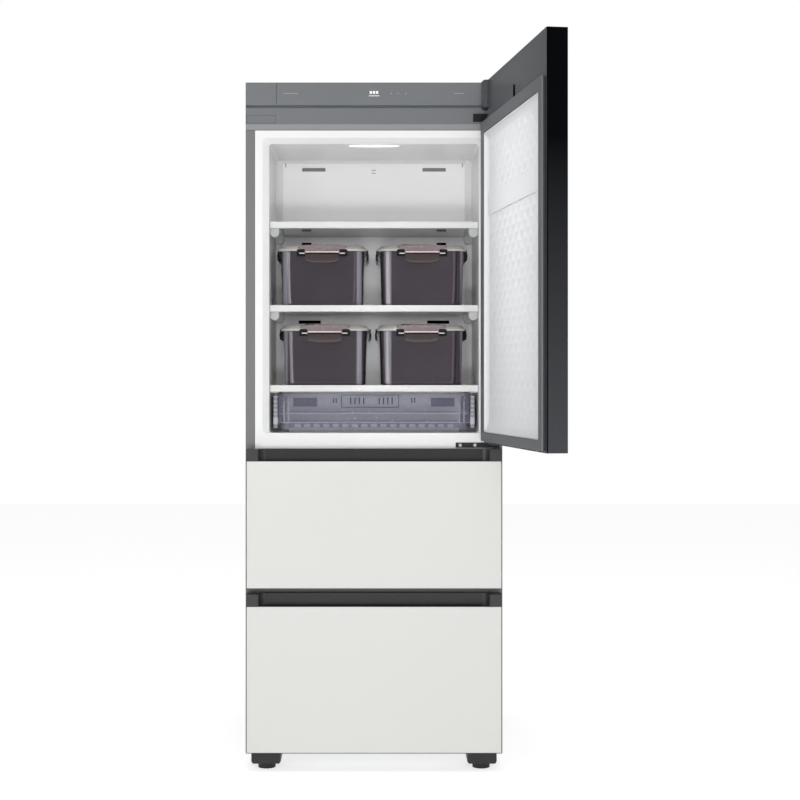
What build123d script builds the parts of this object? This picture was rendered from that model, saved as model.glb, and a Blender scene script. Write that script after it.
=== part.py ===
"""Three-compartment stand-up kimchi refrigerator: one hinged upper door and two pull-out drawers.

Origin: centre of the cabinet's footprint on the floor. +X is the user's right, +Y the back, +Z up.
The upper door is modelled standing open, and every other moving piece is modelled closed.
"""

from build123d import *
from math import atan, cos, degrees, radians, sin
import os

os.makedirs("parts", exist_ok=True)

# ---------------------------------------------------------------- driving dimensions, millimetres
# Cabinet body
width = 695.0
depth = 675.0
sheet = 1.0
underside = 38.0
hem_w = 12.0
back_inset = 3.0

# Stack of fronts, from the floor up
front_bottom = 51.0
lower_front_h = 424.0
drawer_gap = 15.0
middle_front_h = 373.0
door_gap = 16.5
control_band_h = 62.0
door_top_gap = 8.5

# Door and drawer fronts
front_inset = 6.0
front_t = 50.0
panel_t = 6.0
panel_lip = 1.5
front_wall = 3.0
front_edge_r = 2.5
seal_t = 11.0
seal_gap = 1.0
seal_w = 32.0
seal_low_w = 24.0
drawer_seal_w = 24.0
drawer_seal_low_w = 16.0
seal_inset = 5.0
hinge_seal_inset = 13.0
seal_base_inset = 4.0
seal_base_t = 4.0

rim_proud = 9.0
rim_land = 10.0
dish_slope = 25.0
dish_depth = 7.0
striker_offset = 18.0
striker_w = 14.0
striker_h = 31.0
striker_t = 2.0

# Front border of the cabinet
flange_w = 25.5
liner_flange_t = 3.0
rail_h = 39.0
bottom_rail_h = 28.0
header_h = 18.0
fascia_h = 43.0
groove_h = 7.0
groove_depth = 12.0
control_depth = 90.0
moulding_t = 3.0
seam_offset = 58.0
seam_w = 1.0
cap_w = 79.0
cap_h = 21.0
cap_inset = (2.5, 2.0)
cap_t = 2.0
cap_seam = 0.5
board_half = 150.0
board_t = 1.6
chip_t = 10.4
chip_half_h = 12.0
chips = ((-95.0, 34.0), (-30.0, 22.0), (40.0, 46.0), (110.0, 18.0))

# Liners
liner_t = 2.0
side_border = 20.5
cavity_height = 785.0
cavity_depth = 320.0
coil_space = 75.0
mouth_step = 16.5
mouth_rise = 14.0
mouth_depth = 18.0
mouth_corner = 9.0
cavity_corner = 8.0
sill_h = 43.0
sill_rise = 24.5
mouth_border = 20.0
drawer_border = 18.0
middle_depth = 560.0
insulation_t = 45.0

# Machine room at the lower back
machine_depth = 250.0
machine_height = 235.0
cover_sheet = 2.0
slot_rows = 6
slot_pitch = 29.0
slot_w = 174.0
slot_h = 10.4
slot_column_pitch = 204.0

# Air duct cover: each vent is its distance from the middle, level over the floor, width, height
cover_t = 15.0
duct_bevel = 21.0
cover_top_bevel = 11.0
vents = (
    (175.0, 756.5, 68.0, 10.5),
    (196.0, 540.5, 28.0, 7.0),
    (187.0, 313.0, 64.0, 9.5),
    (110.0, 85.0, 4.0, 14.0),
    (118.0, 85.0, 4.0, 14.0),
)
grille_x = 200.0
grille_level = 80.0
grille_slots = 10
grille_pitch = 6.7
grille_slot_w = 4.2
grille_h = 21.0

# Ceiling lamp
lamp_setback = 45.0
lamp_d = 25.0
lamp_half = 70.0
lamp_t = 3.0
lamp_corner = 6.0

# Shelves
lower_shelf_level = 112.0
middle_shelf_level = 330.7
upper_shelf_level = 558.8
shelf_setback = 40.0
trim_h = 17.6
trim_d = 12.0
shelf_board_t = 16.2
board_bite = 6.0
bracket_w = 26.0
rest_d = 32.0
rest_drops = (4.0, 23.0, 23.0)
back_clearance = 2.0
side_clearance = 1.0

# Kimchi containers
tub_room = 55.0
tub_draft = 4.0
tub_h = 153.0
tub_wall = 2.2
tub_corner = 28.0
tub_setback = 58.0
tub_back_gap = 5.1
low_left_gap = 24.1
low_right_gap = 29.1
high_left_gap = 17.1
high_right_gap = 27.1
rim_w = 4.0
rim_h = 5.0
lid_skirt = 8.0
lid_wall = 2.5
lid_gap = 0.4
lid_crown = 8.4
crown_inset = (12.0, 15.0)
crown_corner = 27.0
crown_slope = 30.0
grip_w = 138.0
grip_d = 74.0
grip_h = 4.0
grip_plan_r = 12.0
grip_edge_r = 2.5
grip_setback = 14.0
clip_w = 60.0
clip_t = 4.0
clip_h = 44.0
latch_w = 94.0
latch_h = 31.0
latch_t = 5.0
latch_pin_r = 2.5
latch_standoff = 6.0
latch_lug_w = 5.0
latch_lug_half = 4.0
latch_pin_drop = 11.0
latch_cover = 2.5
latch_corner = 14.0

# Clear tray on the floor of the upper compartment
tray_side_gap = 8.0
tray_h = 106.0
tray_d = 262.0
tray_wall = 2.5
tray_corner = 28.0
tray_setback = 44.0

# Drawer bins and telescopic runners
bin_wall = 2.5
bin_corner = 24.0
bin_front_gap = 6.0
bin_back_gap = 28.0
bin_floor_gap = 6.0
bin_top_gap = 34.0
channel_w = 15.0
channel_h = 36.0
channel_t = 1.5
channel_back_gap = 12.0
runner_reach = 23.0
runner_level = 0.52

# Grip recess along the top of each drawer front
grip_open_h = 33.0
grip_hook_h = 18.0
grip_recess_d = 34.0
grip_end_block = 32.0
grip_corner = 27.0
grip_wall = 2.0

# Door hinges
pivot_from_edge = 16.5
pivot_forward = 40.0
rest_opening = 98.0
lower_pin_r = 6.0
upper_pin_r = 5.0
bush_wall = 4.0
pin_play = 0.05
pin_reach = 21.0
bush_h = 25.0
bush_end = 3.0
pin_shoulder = 3.0
hinge_plate_t = 3.0
hinge_arm_t = 4.0
hinge_arm_half = 9.0
lower_arm_half = 15.0
lower_arm_drop = 2.0
lower_plate_rise = 1.5
upper_plate_rise = 5.0
upper_plate_reach = 57.0
upper_arm_root = 25.0
notch_low = 4.0
notch_h = 30.0
notch_w = 49.0
upper_plate_h = 22.0
upper_plate_w = 44.0
lower_plate_h = 14.0
lower_plate_w = 104.0
screw_head_r = 4.5
screw_head_t = 2.5
lower_screws_at = (32.0, 7.0)
lower_screw_pitch = 40.0
upper_screws_at = (14.0, 16.0)
upper_screw_pitch = 16.0
column_w = 45.0
column_fillet = 9.0

# Feet and rollers
foot_r = 23.5
foot_h = 16.7
foot_inset = 57.5
foot_back = 5.0
stem_r = 5.0
flute_r = 3.0
flute_count = 16
leg_half_w = 39.5
leg_forward = 35.0
leg_back = 60.0
leg_step = 20.0
leg_bevel = (6.0, 4.0)
roller_r = 17.0
roller_w = 18.0
roller_back = 60.0
axle_r = 4.0
fork_t = 3.0
fork_half_d = 14.0
fork_drop = 8.0

# Cooling circuit
coil_side_gap = 45.0
evaporator_h = 180.0
evaporator_d = 50.0
evaporator_rise = 30.0
coil_gap = 8.0
coil_rows = (46.0, 22.0)
coil_levels = 4
coil_tube_r = 4.0
tube_overhang = 12.0
fin_t = 1.5
fin_count = 16
cold_fan_r = 60.0
warm_fan_r = 55.0
fan_w = 20.0
hub_r = 17.0
fan_bore_r = 3.0
blade_count = 7
blade_pitch = 32.0
blade_t = 2.0
blade_root = 4.0
motor_r = 25.0
cold_motor_t = 18.0
warm_motor_t = 24.0
cold_fan_rise = 110.0
warm_fan_rise = 95.0
warm_fan_inset = 307.5
fan_gap = 4.0
warm_fan_gap = 6.0
motor_bracket = (40.0, 4.0)
motor_foot = (60.0, 20.0, 3.0)
compressor_inset = 177.5
compressor_r = 74.0
compressor_h = 165.0
compressor_lift = 14.0
dome_r = 40.7
mount_plate = (200.0, 110.0, 3.0)
mount_span = (172.0, 84.0)
mount_r = 11.0
pipe_r = 5.0
pipe_rise = 60.0
pipe_run = 40.0
condenser_w = 180.0
condenser_h = 140.0
condenser_d = 120.0
warm_fin_count = 13
warm_rows = (-35.0, 0.0, 35.0)
warm_levels = (19.0, 51.0, 83.0, 114.0)
warm_overhang = 10.0
pan_inset = 27.5
pan_w = 220.0
pan_d = 170.0
pan_h = 16.0
pan_wall = 2.0

running_gap = 0.3

# ---------------------------------------------------------------- places worked out from them
half = width / 2
front = -depth / 2
back = depth / 2
panel_back = back - back_inset

lower_top = front_bottom + lower_front_h
middle_bottom = lower_top + drawer_gap
middle_top = middle_bottom + middle_front_h
door_bottom = middle_top + door_gap

front_half = half - front_inset
seat = seal_t + seal_gap
front_outer = -seat - front_t

flange_in = half - flange_w
cavity_half = flange_in - side_border - mouth_step
sill_top = door_bottom + sill_rise
sill_bottom = sill_top - sill_h
ceiling = sill_top + cavity_height
header_bottom = ceiling + mouth_rise + mouth_border
header_top = header_bottom + header_h
groove_bottom = header_top + fascia_h
groove_top = groove_bottom + groove_h
top = groove_top + control_band_h
door_top = top - door_top_gap
rail_bottom = (lower_top + middle_bottom) / 2 - rail_h / 2
rail_top = rail_bottom + rail_h
bottom_rail_top = underside + bottom_rail_h

middle_floor = rail_top + drawer_border
middle_roof = sill_bottom - insulation_t / 2
lower_floor = bottom_rail_top + drawer_border
lower_roof = rail_bottom - drawer_border
machine_top = underside + machine_height
lower_depth = depth - machine_depth - insulation_t
liner_depth = cavity_depth + coil_space

pivot_x = front_half - pivot_from_edge
pivot_y = front - pivot_forward


def block(x_span, y_span, z_span, plane=Plane.XY, mode=Mode.ADD):
    """Add a box to the part in hand, between two limits along each axis of the plane."""
    spans = (x_span, y_span, z_span)
    centre = [(low + high) / 2 for low, high in spans]
    size = [high - low for low, high in spans]
    with Locations(plane.location * Location(centre)):
        Box(*size, mode=mode)


def rod(radius, start, length, direction, mode=Mode.ADD):
    """Add a round bar that starts at a point and runs along a direction."""
    with BuildSketch(Plane(origin=start, z_dir=direction)) as section:
        Circle(radius)
    extrude(section.sketch, amount=length, mode=mode)


def from_front(near, far):
    """Limits along Y, counted back from the cabinet's front face."""
    return (front + near, front + far)


both_sides = (-1, 1)
front_face = Plane(origin=(0, front, 0), x_dir=(1, 0, 0), z_dir=(0, -1, 0))


# ================================================================ cabinet shell
full_half = (-half, half)
inside_half = (-half + sheet, half - sheet)

# Folded case: two sides and the top in one sheet, a front border, and a hem round the back
with BuildPart() as outer_case:
    for side in both_sides:
        block(sorted((side * half, side * (half - sheet))), (front, back), (underside, top))
    block(full_half, (front, back), (top - sheet, top))
    block(full_half, from_front(0, sheet), (underside, header_top))
    block(full_half, (back - sheet, back), (underside, top))
    block(
        (-half + hem_w, half - hem_w), (back - 2 * sheet, back + sheet),
        (underside - sheet, top - hem_w), mode=Mode.SUBTRACT,
    )
    opening = (-flange_in, flange_in)
    block(opening, from_front(-1, 2), (bottom_rail_top, rail_bottom), mode=Mode.SUBTRACT)
    block(opening, from_front(-1, 2), (rail_top, header_bottom), mode=Mode.SUBTRACT)
outer_case.part.label = "outer_case"
export_step(outer_case.part, "parts/outer_case.step")

with BuildPart() as back_panel:
    block(inside_half, (panel_back - sheet, panel_back), (machine_top, top - sheet))
back_panel.part.label = "back_panel"
export_step(back_panel.part, "parts/back_panel.step")

# Stepped floor plate: low under the drawer, raised over the machine room, with the machine tray
machine_front = back - machine_depth
with BuildPart() as base_pan:
    with BuildSketch(Plane.YZ.offset(-half + sheet)) as step_profile:
        with BuildLine():
            Polyline(
                (front + sheet, underside),
                (machine_front, underside),
                (machine_front, machine_top - sheet),
                (panel_back, machine_top - sheet),
                (panel_back, machine_top),
                (machine_front - sheet, machine_top),
                (machine_front - sheet, underside + sheet),
                (front + sheet, underside + sheet),
                close=True,
            )
        make_face()
    extrude(amount=width - 2 * sheet)
    tray_back = panel_back - cover_sheet
    block(inside_half, (machine_front, tray_back), (underside, underside + cover_sheet))
base_pan.part.label = "base_pan"
export_step(base_pan.part, "parts/base_pan.step")

# Slatted cover over the back of the machine room
with BuildPart() as machine_cover:
    cover_high = machine_top - sheet
    block(inside_half, (panel_back - cover_sheet, panel_back), (underside, cover_high))
    slot_plane = Plane(
        origin=(0, panel_back, (underside + cover_high) / 2), x_dir=(-1, 0, 0), z_dir=(0, 1, 0)
    )
    with BuildSketch(slot_plane) as slots:
        with GridLocations(slot_column_pitch, slot_pitch, 3, slot_rows):
            SlotOverall(slot_w, slot_h)
    extrude(slots.sketch, amount=-2 * cover_sheet, mode=Mode.SUBTRACT)
machine_cover.part.label = "machine_cover"
export_step(machine_cover.part, "parts/machine_cover.step")

# ================================================================ liners
with BuildPart() as upper_liner:
    mouth_half = cavity_half + mouth_step
    mouth_top = ceiling + mouth_rise
    block((-flange_in, flange_in), from_front(0, liner_flange_t), (sill_bottom, header_bottom))
    block(
        (-mouth_half - liner_t, mouth_half + liner_t),
        from_front(0, mouth_depth + liner_t),
        (sill_top - liner_t, mouth_top + liner_t),
    )
    block(
        (-cavity_half - liner_t, cavity_half + liner_t),
        from_front(0, liner_depth + liner_t),
        (sill_top - liner_t, ceiling + liner_t),
    )
    with BuildSketch(front_face) as mouth:
        with Locations((0, (sill_top + mouth_top) / 2)):
            RectangleRounded(2 * mouth_half, mouth_top - sill_top, mouth_corner)
    with BuildSketch(front_face.offset(-mouth_depth)) as throat:
        with Locations((0, (sill_top + ceiling) / 2)):
            RectangleRounded(2 * cavity_half, ceiling - sill_top, cavity_corner)
    loft([mouth.sketch.face(), throat.sketch.face()], mode=Mode.SUBTRACT)
    extrude(throat.sketch, amount=mouth_depth - liner_depth, mode=Mode.SUBTRACT)
upper_liner.part.label = "upper_liner"
export_step(upper_liner.part, "parts/upper_liner.step")

drawer_cavities = (
    (middle_floor, middle_roof, middle_depth, rail_top, sill_bottom),
    (lower_floor, lower_roof, lower_depth, bottom_rail_top, rail_bottom),
)
with BuildPart() as drawer_liners:
    for floor, roof, cavity, flange_low, flange_high in drawer_cavities:
        block((-flange_in, flange_in), from_front(0, liner_flange_t), (flange_low, flange_high))
        block(
            (-cavity_half - liner_t, cavity_half + liner_t),
            from_front(0, cavity + liner_t),
            (floor - liner_t, roof + liner_t),
        )
    for floor, roof, cavity, flange_low, flange_high in drawer_cavities:
        block(
            (-cavity_half, cavity_half), from_front(-1, cavity), (floor, roof),
            mode=Mode.SUBTRACT,
        )
drawer_liners.part.label = "drawer_liners"
export_step(drawer_liners.part, "parts/drawer_liners.step")

# Foam fills what is left between the case and the liners
with BuildPart() as insulation_foam:
    foam_bottom = underside + sheet
    block(
        inside_half, (front + liner_flange_t, panel_back - sheet), (foam_bottom, top - sheet)
    )
    block(
        inside_half, (machine_front - sheet, back), (underside, machine_top),
        mode=Mode.SUBTRACT,
    )
    block(
        (-mouth_half - liner_t, mouth_half + liner_t),
        from_front(0, mouth_depth + liner_t),
        (sill_top - liner_t, mouth_top + liner_t),
        mode=Mode.SUBTRACT,
    )
    block(
        (-cavity_half - liner_t, cavity_half + liner_t),
        from_front(0, liner_depth + liner_t),
        (sill_top - liner_t, ceiling + liner_t),
        mode=Mode.SUBTRACT,
    )
    for floor, roof, cavity, flange_low, flange_high in drawer_cavities:
        block(
            (-cavity_half - liner_t, cavity_half + liner_t),
            from_front(0, cavity + liner_t),
            (floor - liner_t, roof + liner_t),
            mode=Mode.SUBTRACT,
        )
    block(
        inside_half, from_front(0, control_depth), (groove_bottom - moulding_t, top),
        mode=Mode.SUBTRACT,
    )
insulation_foam.part.label = "insulation_foam"
export_step(insulation_foam.part, "parts/insulation_foam.step")

# ================================================================ control housing and fascia
# The control band is one moulding, open at the back, with a shadow groove under it
control_top = top - sheet
with BuildPart() as control_panel:
    with BuildSketch(Plane.YZ.offset(-half + sheet)) as band_profile:
        with BuildLine():
            Polyline(
                (front, groove_top),
                (front, control_top),
                (front + control_depth, control_top),
                (front + control_depth, control_top - moulding_t),
                (front + moulding_t, control_top - moulding_t),
                (front + moulding_t, groove_top + moulding_t),
                (front + groove_depth + moulding_t, groove_top + moulding_t),
                (front + groove_depth + moulding_t, groove_bottom + moulding_t),
                (front + control_depth, groove_bottom + moulding_t),
                (front + control_depth, groove_bottom),
                (front + groove_depth, groove_bottom),
                (front + groove_depth, groove_top),
                close=True,
            )
        make_face()
    extrude(amount=width - 2 * sheet)
    seam_x = -flange_in + seam_offset
    block(
        (seam_x - seam_w / 2, seam_x + seam_w / 2), from_front(-1, seam_w),
        (groove_top, control_top), mode=Mode.SUBTRACT,
    )
control_panel.part.label = "control_panel"
export_step(control_panel.part, "parts/control_panel.step")

with BuildPart() as control_board:
    board_setback = control_depth / 2
    board_back = board_setback + board_t
    board_low = groove_bottom + moulding_t
    board_high = control_top - 3 * moulding_t
    board_middle = (board_low + board_high) / 2
    block(
        (-board_half, board_half), from_front(board_setback, board_back),
        (board_low, board_high),
    )
    for chip_x, chip_w in chips:
        block(
            (chip_x - chip_w / 2, chip_x + chip_w / 2),
            from_front(board_back, board_back + chip_t),
            (board_middle - chip_half_h, board_middle + chip_half_h),
        )
control_board.part.label = "control_board"
export_step(control_board.part, "parts/control_board.step")

# Lower band with the blank cap that covers the screw holes of the unused hinge side
cap_x = (-half + cap_inset[0], -half + cap_inset[0] + cap_w)
cap_z = (header_top + cap_inset[1], header_top + cap_inset[1] + cap_h)
with BuildPart() as hinge_fascia:
    with BuildSketch(Plane.YZ.offset(-half + sheet)) as fascia_profile:
        with BuildLine():
            Polyline(
                (front, header_top),
                (front, groove_bottom),
                (front + control_depth, groove_bottom),
                (front + control_depth, groove_bottom - moulding_t),
                (front + moulding_t, groove_bottom - moulding_t),
                (front + moulding_t, header_top),
                close=True,
            )
        make_face()
    extrude(amount=width - 2 * sheet)
    block(cap_x, from_front(-1, cap_t), cap_z, mode=Mode.SUBTRACT)
with BuildPart() as fascia_cap:
    block(
        (cap_x[0] + cap_seam, cap_x[1] - cap_seam), from_front(0, cap_t),
        (cap_z[0] + cap_seam, cap_z[1] - cap_seam),
    )
fascia_set = Compound([hinge_fascia.part, fascia_cap.part], label="hinge_fascia")
export_step(fascia_set, "parts/hinge_fascia.step")

# ================================================================ upper compartment fittings
with BuildPart() as duct_cover:
    with BuildSketch(Plane.XY.offset(sill_top)) as duct_plan:
        with BuildLine():
            Polyline(
                (-cavity_half, front + cavity_depth + cover_t),
                (-cavity_half + duct_bevel, front + cavity_depth),
                (cavity_half - duct_bevel, front + cavity_depth),
                (cavity_half, front + cavity_depth + cover_t),
                close=True,
            )
        make_face()
    extrude(amount=ceiling - sill_top)
    with BuildSketch(front_face.offset(-cavity_depth)) as cover_outline:
        with Locations((0, (sill_top + ceiling) / 2)):
            RectangleRounded(2 * cavity_half, ceiling - sill_top, cavity_corner)
    extrude(cover_outline.sketch, amount=-cover_t, mode=Mode.INTERSECT)
    cover_front = duct_cover.faces().sort_by(Axis.Y)[0]
    chamfer(cover_front.edges().sort_by(Axis.Z)[-1], length=cover_top_bevel)
    with BuildSketch(front_face.offset(-cavity_depth)) as openings:
        for vent_x, vent_level, vent_w, vent_h in vents:
            for side in both_sides:
                with Locations((side * vent_x, sill_top + vent_level)):
                    Rectangle(vent_w, vent_h)
        for side in both_sides:
            with Locations((side * grille_x, sill_top + grille_level)):
                with GridLocations(grille_pitch, 1, grille_slots, 1):
                    Rectangle(grille_slot_w, grille_h)
    extrude(openings.sketch, amount=-2 * cover_t, mode=Mode.SUBTRACT)
duct_cover.part.label = "duct_cover"
export_step(duct_cover.part, "parts/duct_cover.step")

with BuildPart() as ceiling_lamp:
    block(
        (-lamp_half, lamp_half), from_front(lamp_setback, lamp_setback + lamp_d),
        (ceiling - lamp_t, ceiling),
    )
    fillet(ceiling_lamp.edges().filter_by(Axis.Z), radius=lamp_corner)
ceiling_lamp.part.label = "ceiling_lamp"
export_step(ceiling_lamp.part, "parts/ceiling_lamp.step")

board_half_w = cavity_half - bracket_w
shelf_levels = (lower_shelf_level, middle_shelf_level, upper_shelf_level)
shelf_tops = [sill_top + level + trim_h for level in shelf_levels]
with BuildPart() as shelf_boards:
    for shelf_top in shelf_tops:
        block(
            (-board_half_w, board_half_w),
            from_front(shelf_setback + trim_d - board_bite, cavity_depth - back_clearance),
            (shelf_top - shelf_board_t, shelf_top),
        )
shelf_boards.part.label = "shelf_boards"
export_step(shelf_boards.part, "parts/shelf_boards.step")

with BuildPart() as shelf_trims:
    trim_half = cavity_half - side_clearance
    for shelf_top in shelf_tops:
        block(
            (-trim_half, trim_half), from_front(shelf_setback, shelf_setback + trim_d),
            (shelf_top - trim_h, shelf_top),
        )
    add(shelf_boards.part, mode=Mode.SUBTRACT)
shelf_trims.part.label = "shelf_trims"
export_step(shelf_trims.part, "parts/shelf_trims.step")

# Each end of a shelf board lies in a moulded bracket on the wall, with two rests below it
with BuildPart() as shelf_brackets:
    bracket_near = shelf_setback + trim_d + running_gap
    bracket_far = cavity_depth - cover_t
    for shelf_top, rest_drop in zip(shelf_tops, rest_drops):
        bracket_low = shelf_top - trim_h
        for side in both_sides:
            bracket_x = sorted((side * cavity_half, side * board_half_w))
            block(bracket_x, from_front(bracket_near, bracket_far), (bracket_low, shelf_top))
            for near in (bracket_near, bracket_far - rest_d):
                block(
                    bracket_x, from_front(near, near + rest_d),
                    (bracket_low - rest_drop, bracket_low),
                )
shelf_brackets.part.label = "shelf_brackets"
export_step(shelf_brackets.part, "parts/shelf_brackets.step")

# ================================================================ cold side of the cooling circuit
coil_bottom = sill_top + evaporator_rise
evaporator_w = 2 * (cavity_half - coil_side_gap)
with BuildPart() as evaporator:
    fin_pitch = evaporator_w / (fin_count - 1)
    for number in range(fin_count):
        fin_x = -evaporator_w / 2 + number * fin_pitch
        is_end = number in (0, fin_count - 1)
        fin_back = liner_depth if is_end else liner_depth - coil_gap
        block(
            (fin_x - fin_t / 2, fin_x + fin_t / 2),
            from_front(liner_depth - coil_gap - evaporator_d, fin_back),
            (coil_bottom, coil_bottom + evaporator_h),
        )
    for row in coil_rows:
        for level in range(coil_levels):
            tube_z = coil_bottom + (level + 0.5) * evaporator_h / coil_levels
            start = (-evaporator_w / 2 - tube_overhang, front + liner_depth - row, tube_z)
            rod(coil_tube_r, start, evaporator_w + 2 * tube_overhang, (1, 0, 0))
evaporator.part.label = "evaporator"
export_step(evaporator.part, "parts/evaporator.step")

tray_top = underside + cover_sheet
cold_fan_z = coil_bottom + evaporator_h + cold_fan_rise
cold_fan_y = front + liner_depth - cold_motor_t - fan_gap - fan_w
warm_fan_x = half - warm_fan_inset
warm_fan_y = back - machine_depth / 2
warm_fan_z = tray_top + warm_fan_rise


def fan_rotor(plane, radius):
    """A bladed wheel on the plane, with its bore along the plane's normal."""
    with BuildSketch(plane) as hub:
        Circle(hub_r)
    extrude(hub.sketch, amount=fan_w)
    blade_span = radius - hub_r + blade_root
    blade_chord = (fan_w - 2 * blade_t) / cos(radians(blade_pitch))
    for number in range(blade_count):
        turn = number * 360 / blade_count
        pose = Location((0, 0, fan_w / 2)) * Location((0, 0, 0), (0, 0, turn))
        pose *= Location((radius - blade_span / 2, 0, 0), (90 - blade_pitch, 0, 0))
        with Locations(plane.location * pose):
            Box(blade_span, blade_chord, blade_t)
    with BuildSketch(plane.offset(-fan_w)) as bore:
        Circle(fan_bore_r + pin_play)
    extrude(bore.sketch, amount=3 * fan_w, mode=Mode.SUBTRACT)


cold_fan_plane = Plane(origin=(0, cold_fan_y, cold_fan_z), x_dir=(1, 0, 0), z_dir=(0, 1, 0))
warm_fan_plane = Plane(
    origin=(warm_fan_x, warm_fan_y, warm_fan_z), x_dir=(0, 1, 0), z_dir=(1, 0, 0)
)
with BuildPart() as evaporator_fan:
    fan_rotor(cold_fan_plane, cold_fan_r)
evaporator_fan.part.label = "evaporator_fan"
export_step(evaporator_fan.part, "parts/evaporator_fan.step")

with BuildPart() as condenser_fan:
    fan_rotor(warm_fan_plane, warm_fan_r)
condenser_fan.part.label = "condenser_fan"
export_step(condenser_fan.part, "parts/condenser_fan.step")

# Each motor carries its fan on a shaft; the warm one stands on a bracket on the machine tray
with BuildPart() as fan_motors:
    cold_motor_start = (0, front + liner_depth, cold_fan_z)
    rod(motor_r, cold_motor_start, cold_motor_t, (0, -1, 0))
    rod(fan_bore_r, cold_motor_start, cold_motor_t + fan_gap + fan_w, (0, -1, 0))
    warm_motor_x = warm_fan_x + fan_w + warm_fan_gap
    bracket_x = warm_motor_x + warm_motor_t / 2
    rod(motor_r, (warm_motor_x, warm_fan_y, warm_fan_z), warm_motor_t, (1, 0, 0))
    rod(fan_bore_r, (warm_fan_x, warm_fan_y, warm_fan_z), fan_w + warm_motor_t, (1, 0, 0))
    block(
        (bracket_x, bracket_x + motor_bracket[1]),
        (warm_fan_y - motor_bracket[0] / 2, warm_fan_y + motor_bracket[0] / 2),
        (tray_top, warm_fan_z),
    )
    block(
        (bracket_x, bracket_x + motor_foot[1]),
        (warm_fan_y - motor_foot[0] / 2, warm_fan_y + motor_foot[0] / 2),
        (tray_top, tray_top + motor_foot[2]),
    )
fan_motors.part.label = "fan_motors"
export_step(fan_motors.part, "parts/fan_motors.step")

# ================================================================ machine room
compressor_x = -half + compressor_inset
with BuildPart() as compressor:
    pot_bottom = tray_top + compressor_lift
    block(
        (compressor_x - mount_plate[0] / 2, compressor_x + mount_plate[0] / 2),
        (warm_fan_y - mount_plate[1] / 2, warm_fan_y + mount_plate[1] / 2),
        (pot_bottom - mount_plate[2], pot_bottom),
    )
    for across in both_sides:
        for along in both_sides:
            mount_x = compressor_x + across * mount_span[0] / 2
            mount_y = warm_fan_y + along * mount_span[1] / 2
            rod(mount_r, (mount_x, mount_y, tray_top), compressor_lift - 1, (0, 0, 1))
    with BuildSketch(Plane.XY.offset(pot_bottom)) as pot_plan:
        with Locations((compressor_x, warm_fan_y)):
            Circle(compressor_r)
    extrude(amount=compressor_h)
    dome_edge = compressor.edges().filter_by(GeomType.CIRCLE).sort_by(Axis.Z)[-1]
    fillet(dome_edge, radius=dome_r)
    pipe_start = (compressor_x + compressor_r - pipe_r, warm_fan_y, pot_bottom + pipe_rise)
    rod(pipe_r, pipe_start, pipe_run, (1, 0, 0))
compressor.part.label = "compressor"
export_step(compressor.part, "parts/compressor.step")

pan_x = (half - pan_inset - pan_w, half - pan_inset)
pan_y = (warm_fan_y - pan_d / 2, warm_fan_y + pan_d / 2)
with BuildPart() as drain_pan:
    block(pan_x, pan_y, (tray_top, tray_top + pan_h))
    block(
        (pan_x[0] + pan_wall, pan_x[1] - pan_wall), (pan_y[0] + pan_wall, pan_y[1] - pan_wall),
        (tray_top + pan_wall, tray_top + pan_h + 1), mode=Mode.SUBTRACT,
    )
drain_pan.part.label = "drain_pan"
export_step(drain_pan.part, "parts/drain_pan.step")

with BuildPart() as condenser:
    coil_x = (pan_x[0] + pan_x[1]) / 2 - condenser_w / 2
    coil_low = tray_top + pan_wall
    for number in range(warm_fin_count):
        fin_x = coil_x + number * condenser_w / (warm_fin_count - 1)
        block(
            (fin_x - fin_t / 2, fin_x + fin_t / 2),
            (warm_fan_y - condenser_d / 2, warm_fan_y + condenser_d / 2),
            (coil_low, coil_low + condenser_h),
        )
    for row in warm_rows:
        for level in warm_levels:
            start = (coil_x - warm_overhang, warm_fan_y + row, coil_low + level)
            rod(coil_tube_r, start, condenser_w + 2 * warm_overhang, (1, 0, 0))
condenser.part.label = "condenser"
export_step(condenser.part, "parts/condenser.step")

# ================================================================ feet, legs and rollers
foot_x = half - foot_inset
foot_y = front + foot_back
roller_y = back - roller_back
leg_top = front_bottom - 2.0
fork_half = roller_w / 2 + fork_t + running_gap
with BuildPart() as leg_brackets:
    for side in both_sides:
        centre_x = side * foot_x
        block(
            (centre_x - leg_half_w, centre_x + leg_half_w),
            from_front(-leg_forward, leg_back), (foot_h + running_gap, underside),
        )
    bottom_edges = leg_brackets.faces().sort_by(Axis.Z)[:2].edges().filter_by(Axis.Y)
    chamfer(bottom_edges, length=leg_bevel[0], length2=leg_bevel[1])
    for side in both_sides:
        centre_x = side * foot_x
        block(
            (centre_x - leg_half_w, centre_x + leg_half_w),
            from_front(-leg_forward, -leg_forward + leg_step), (underside, leg_top),
        )
        foot_axis = (centre_x, foot_y, foot_h)
        rod(stem_r + pin_play, foot_axis, underside - foot_h, (0, 0, 1), mode=Mode.SUBTRACT)
        for cheek in both_sides:
            cheek_x = centre_x + cheek * (fork_half - fork_t / 2)
            block(
                (cheek_x - fork_t / 2, cheek_x + fork_t / 2),
                (roller_y - fork_half_d, roller_y + fork_half_d), (roller_r - fork_drop, underside),
            )
        bore_start = (centre_x - fork_half - 1, roller_y, roller_r)
        rod(axle_r + pin_play, bore_start, 2 * fork_half + 2, (1, 0, 0), mode=Mode.SUBTRACT)
leg_brackets.part.label = "leg_brackets"
export_step(leg_brackets.part, "parts/leg_brackets.step")

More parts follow.
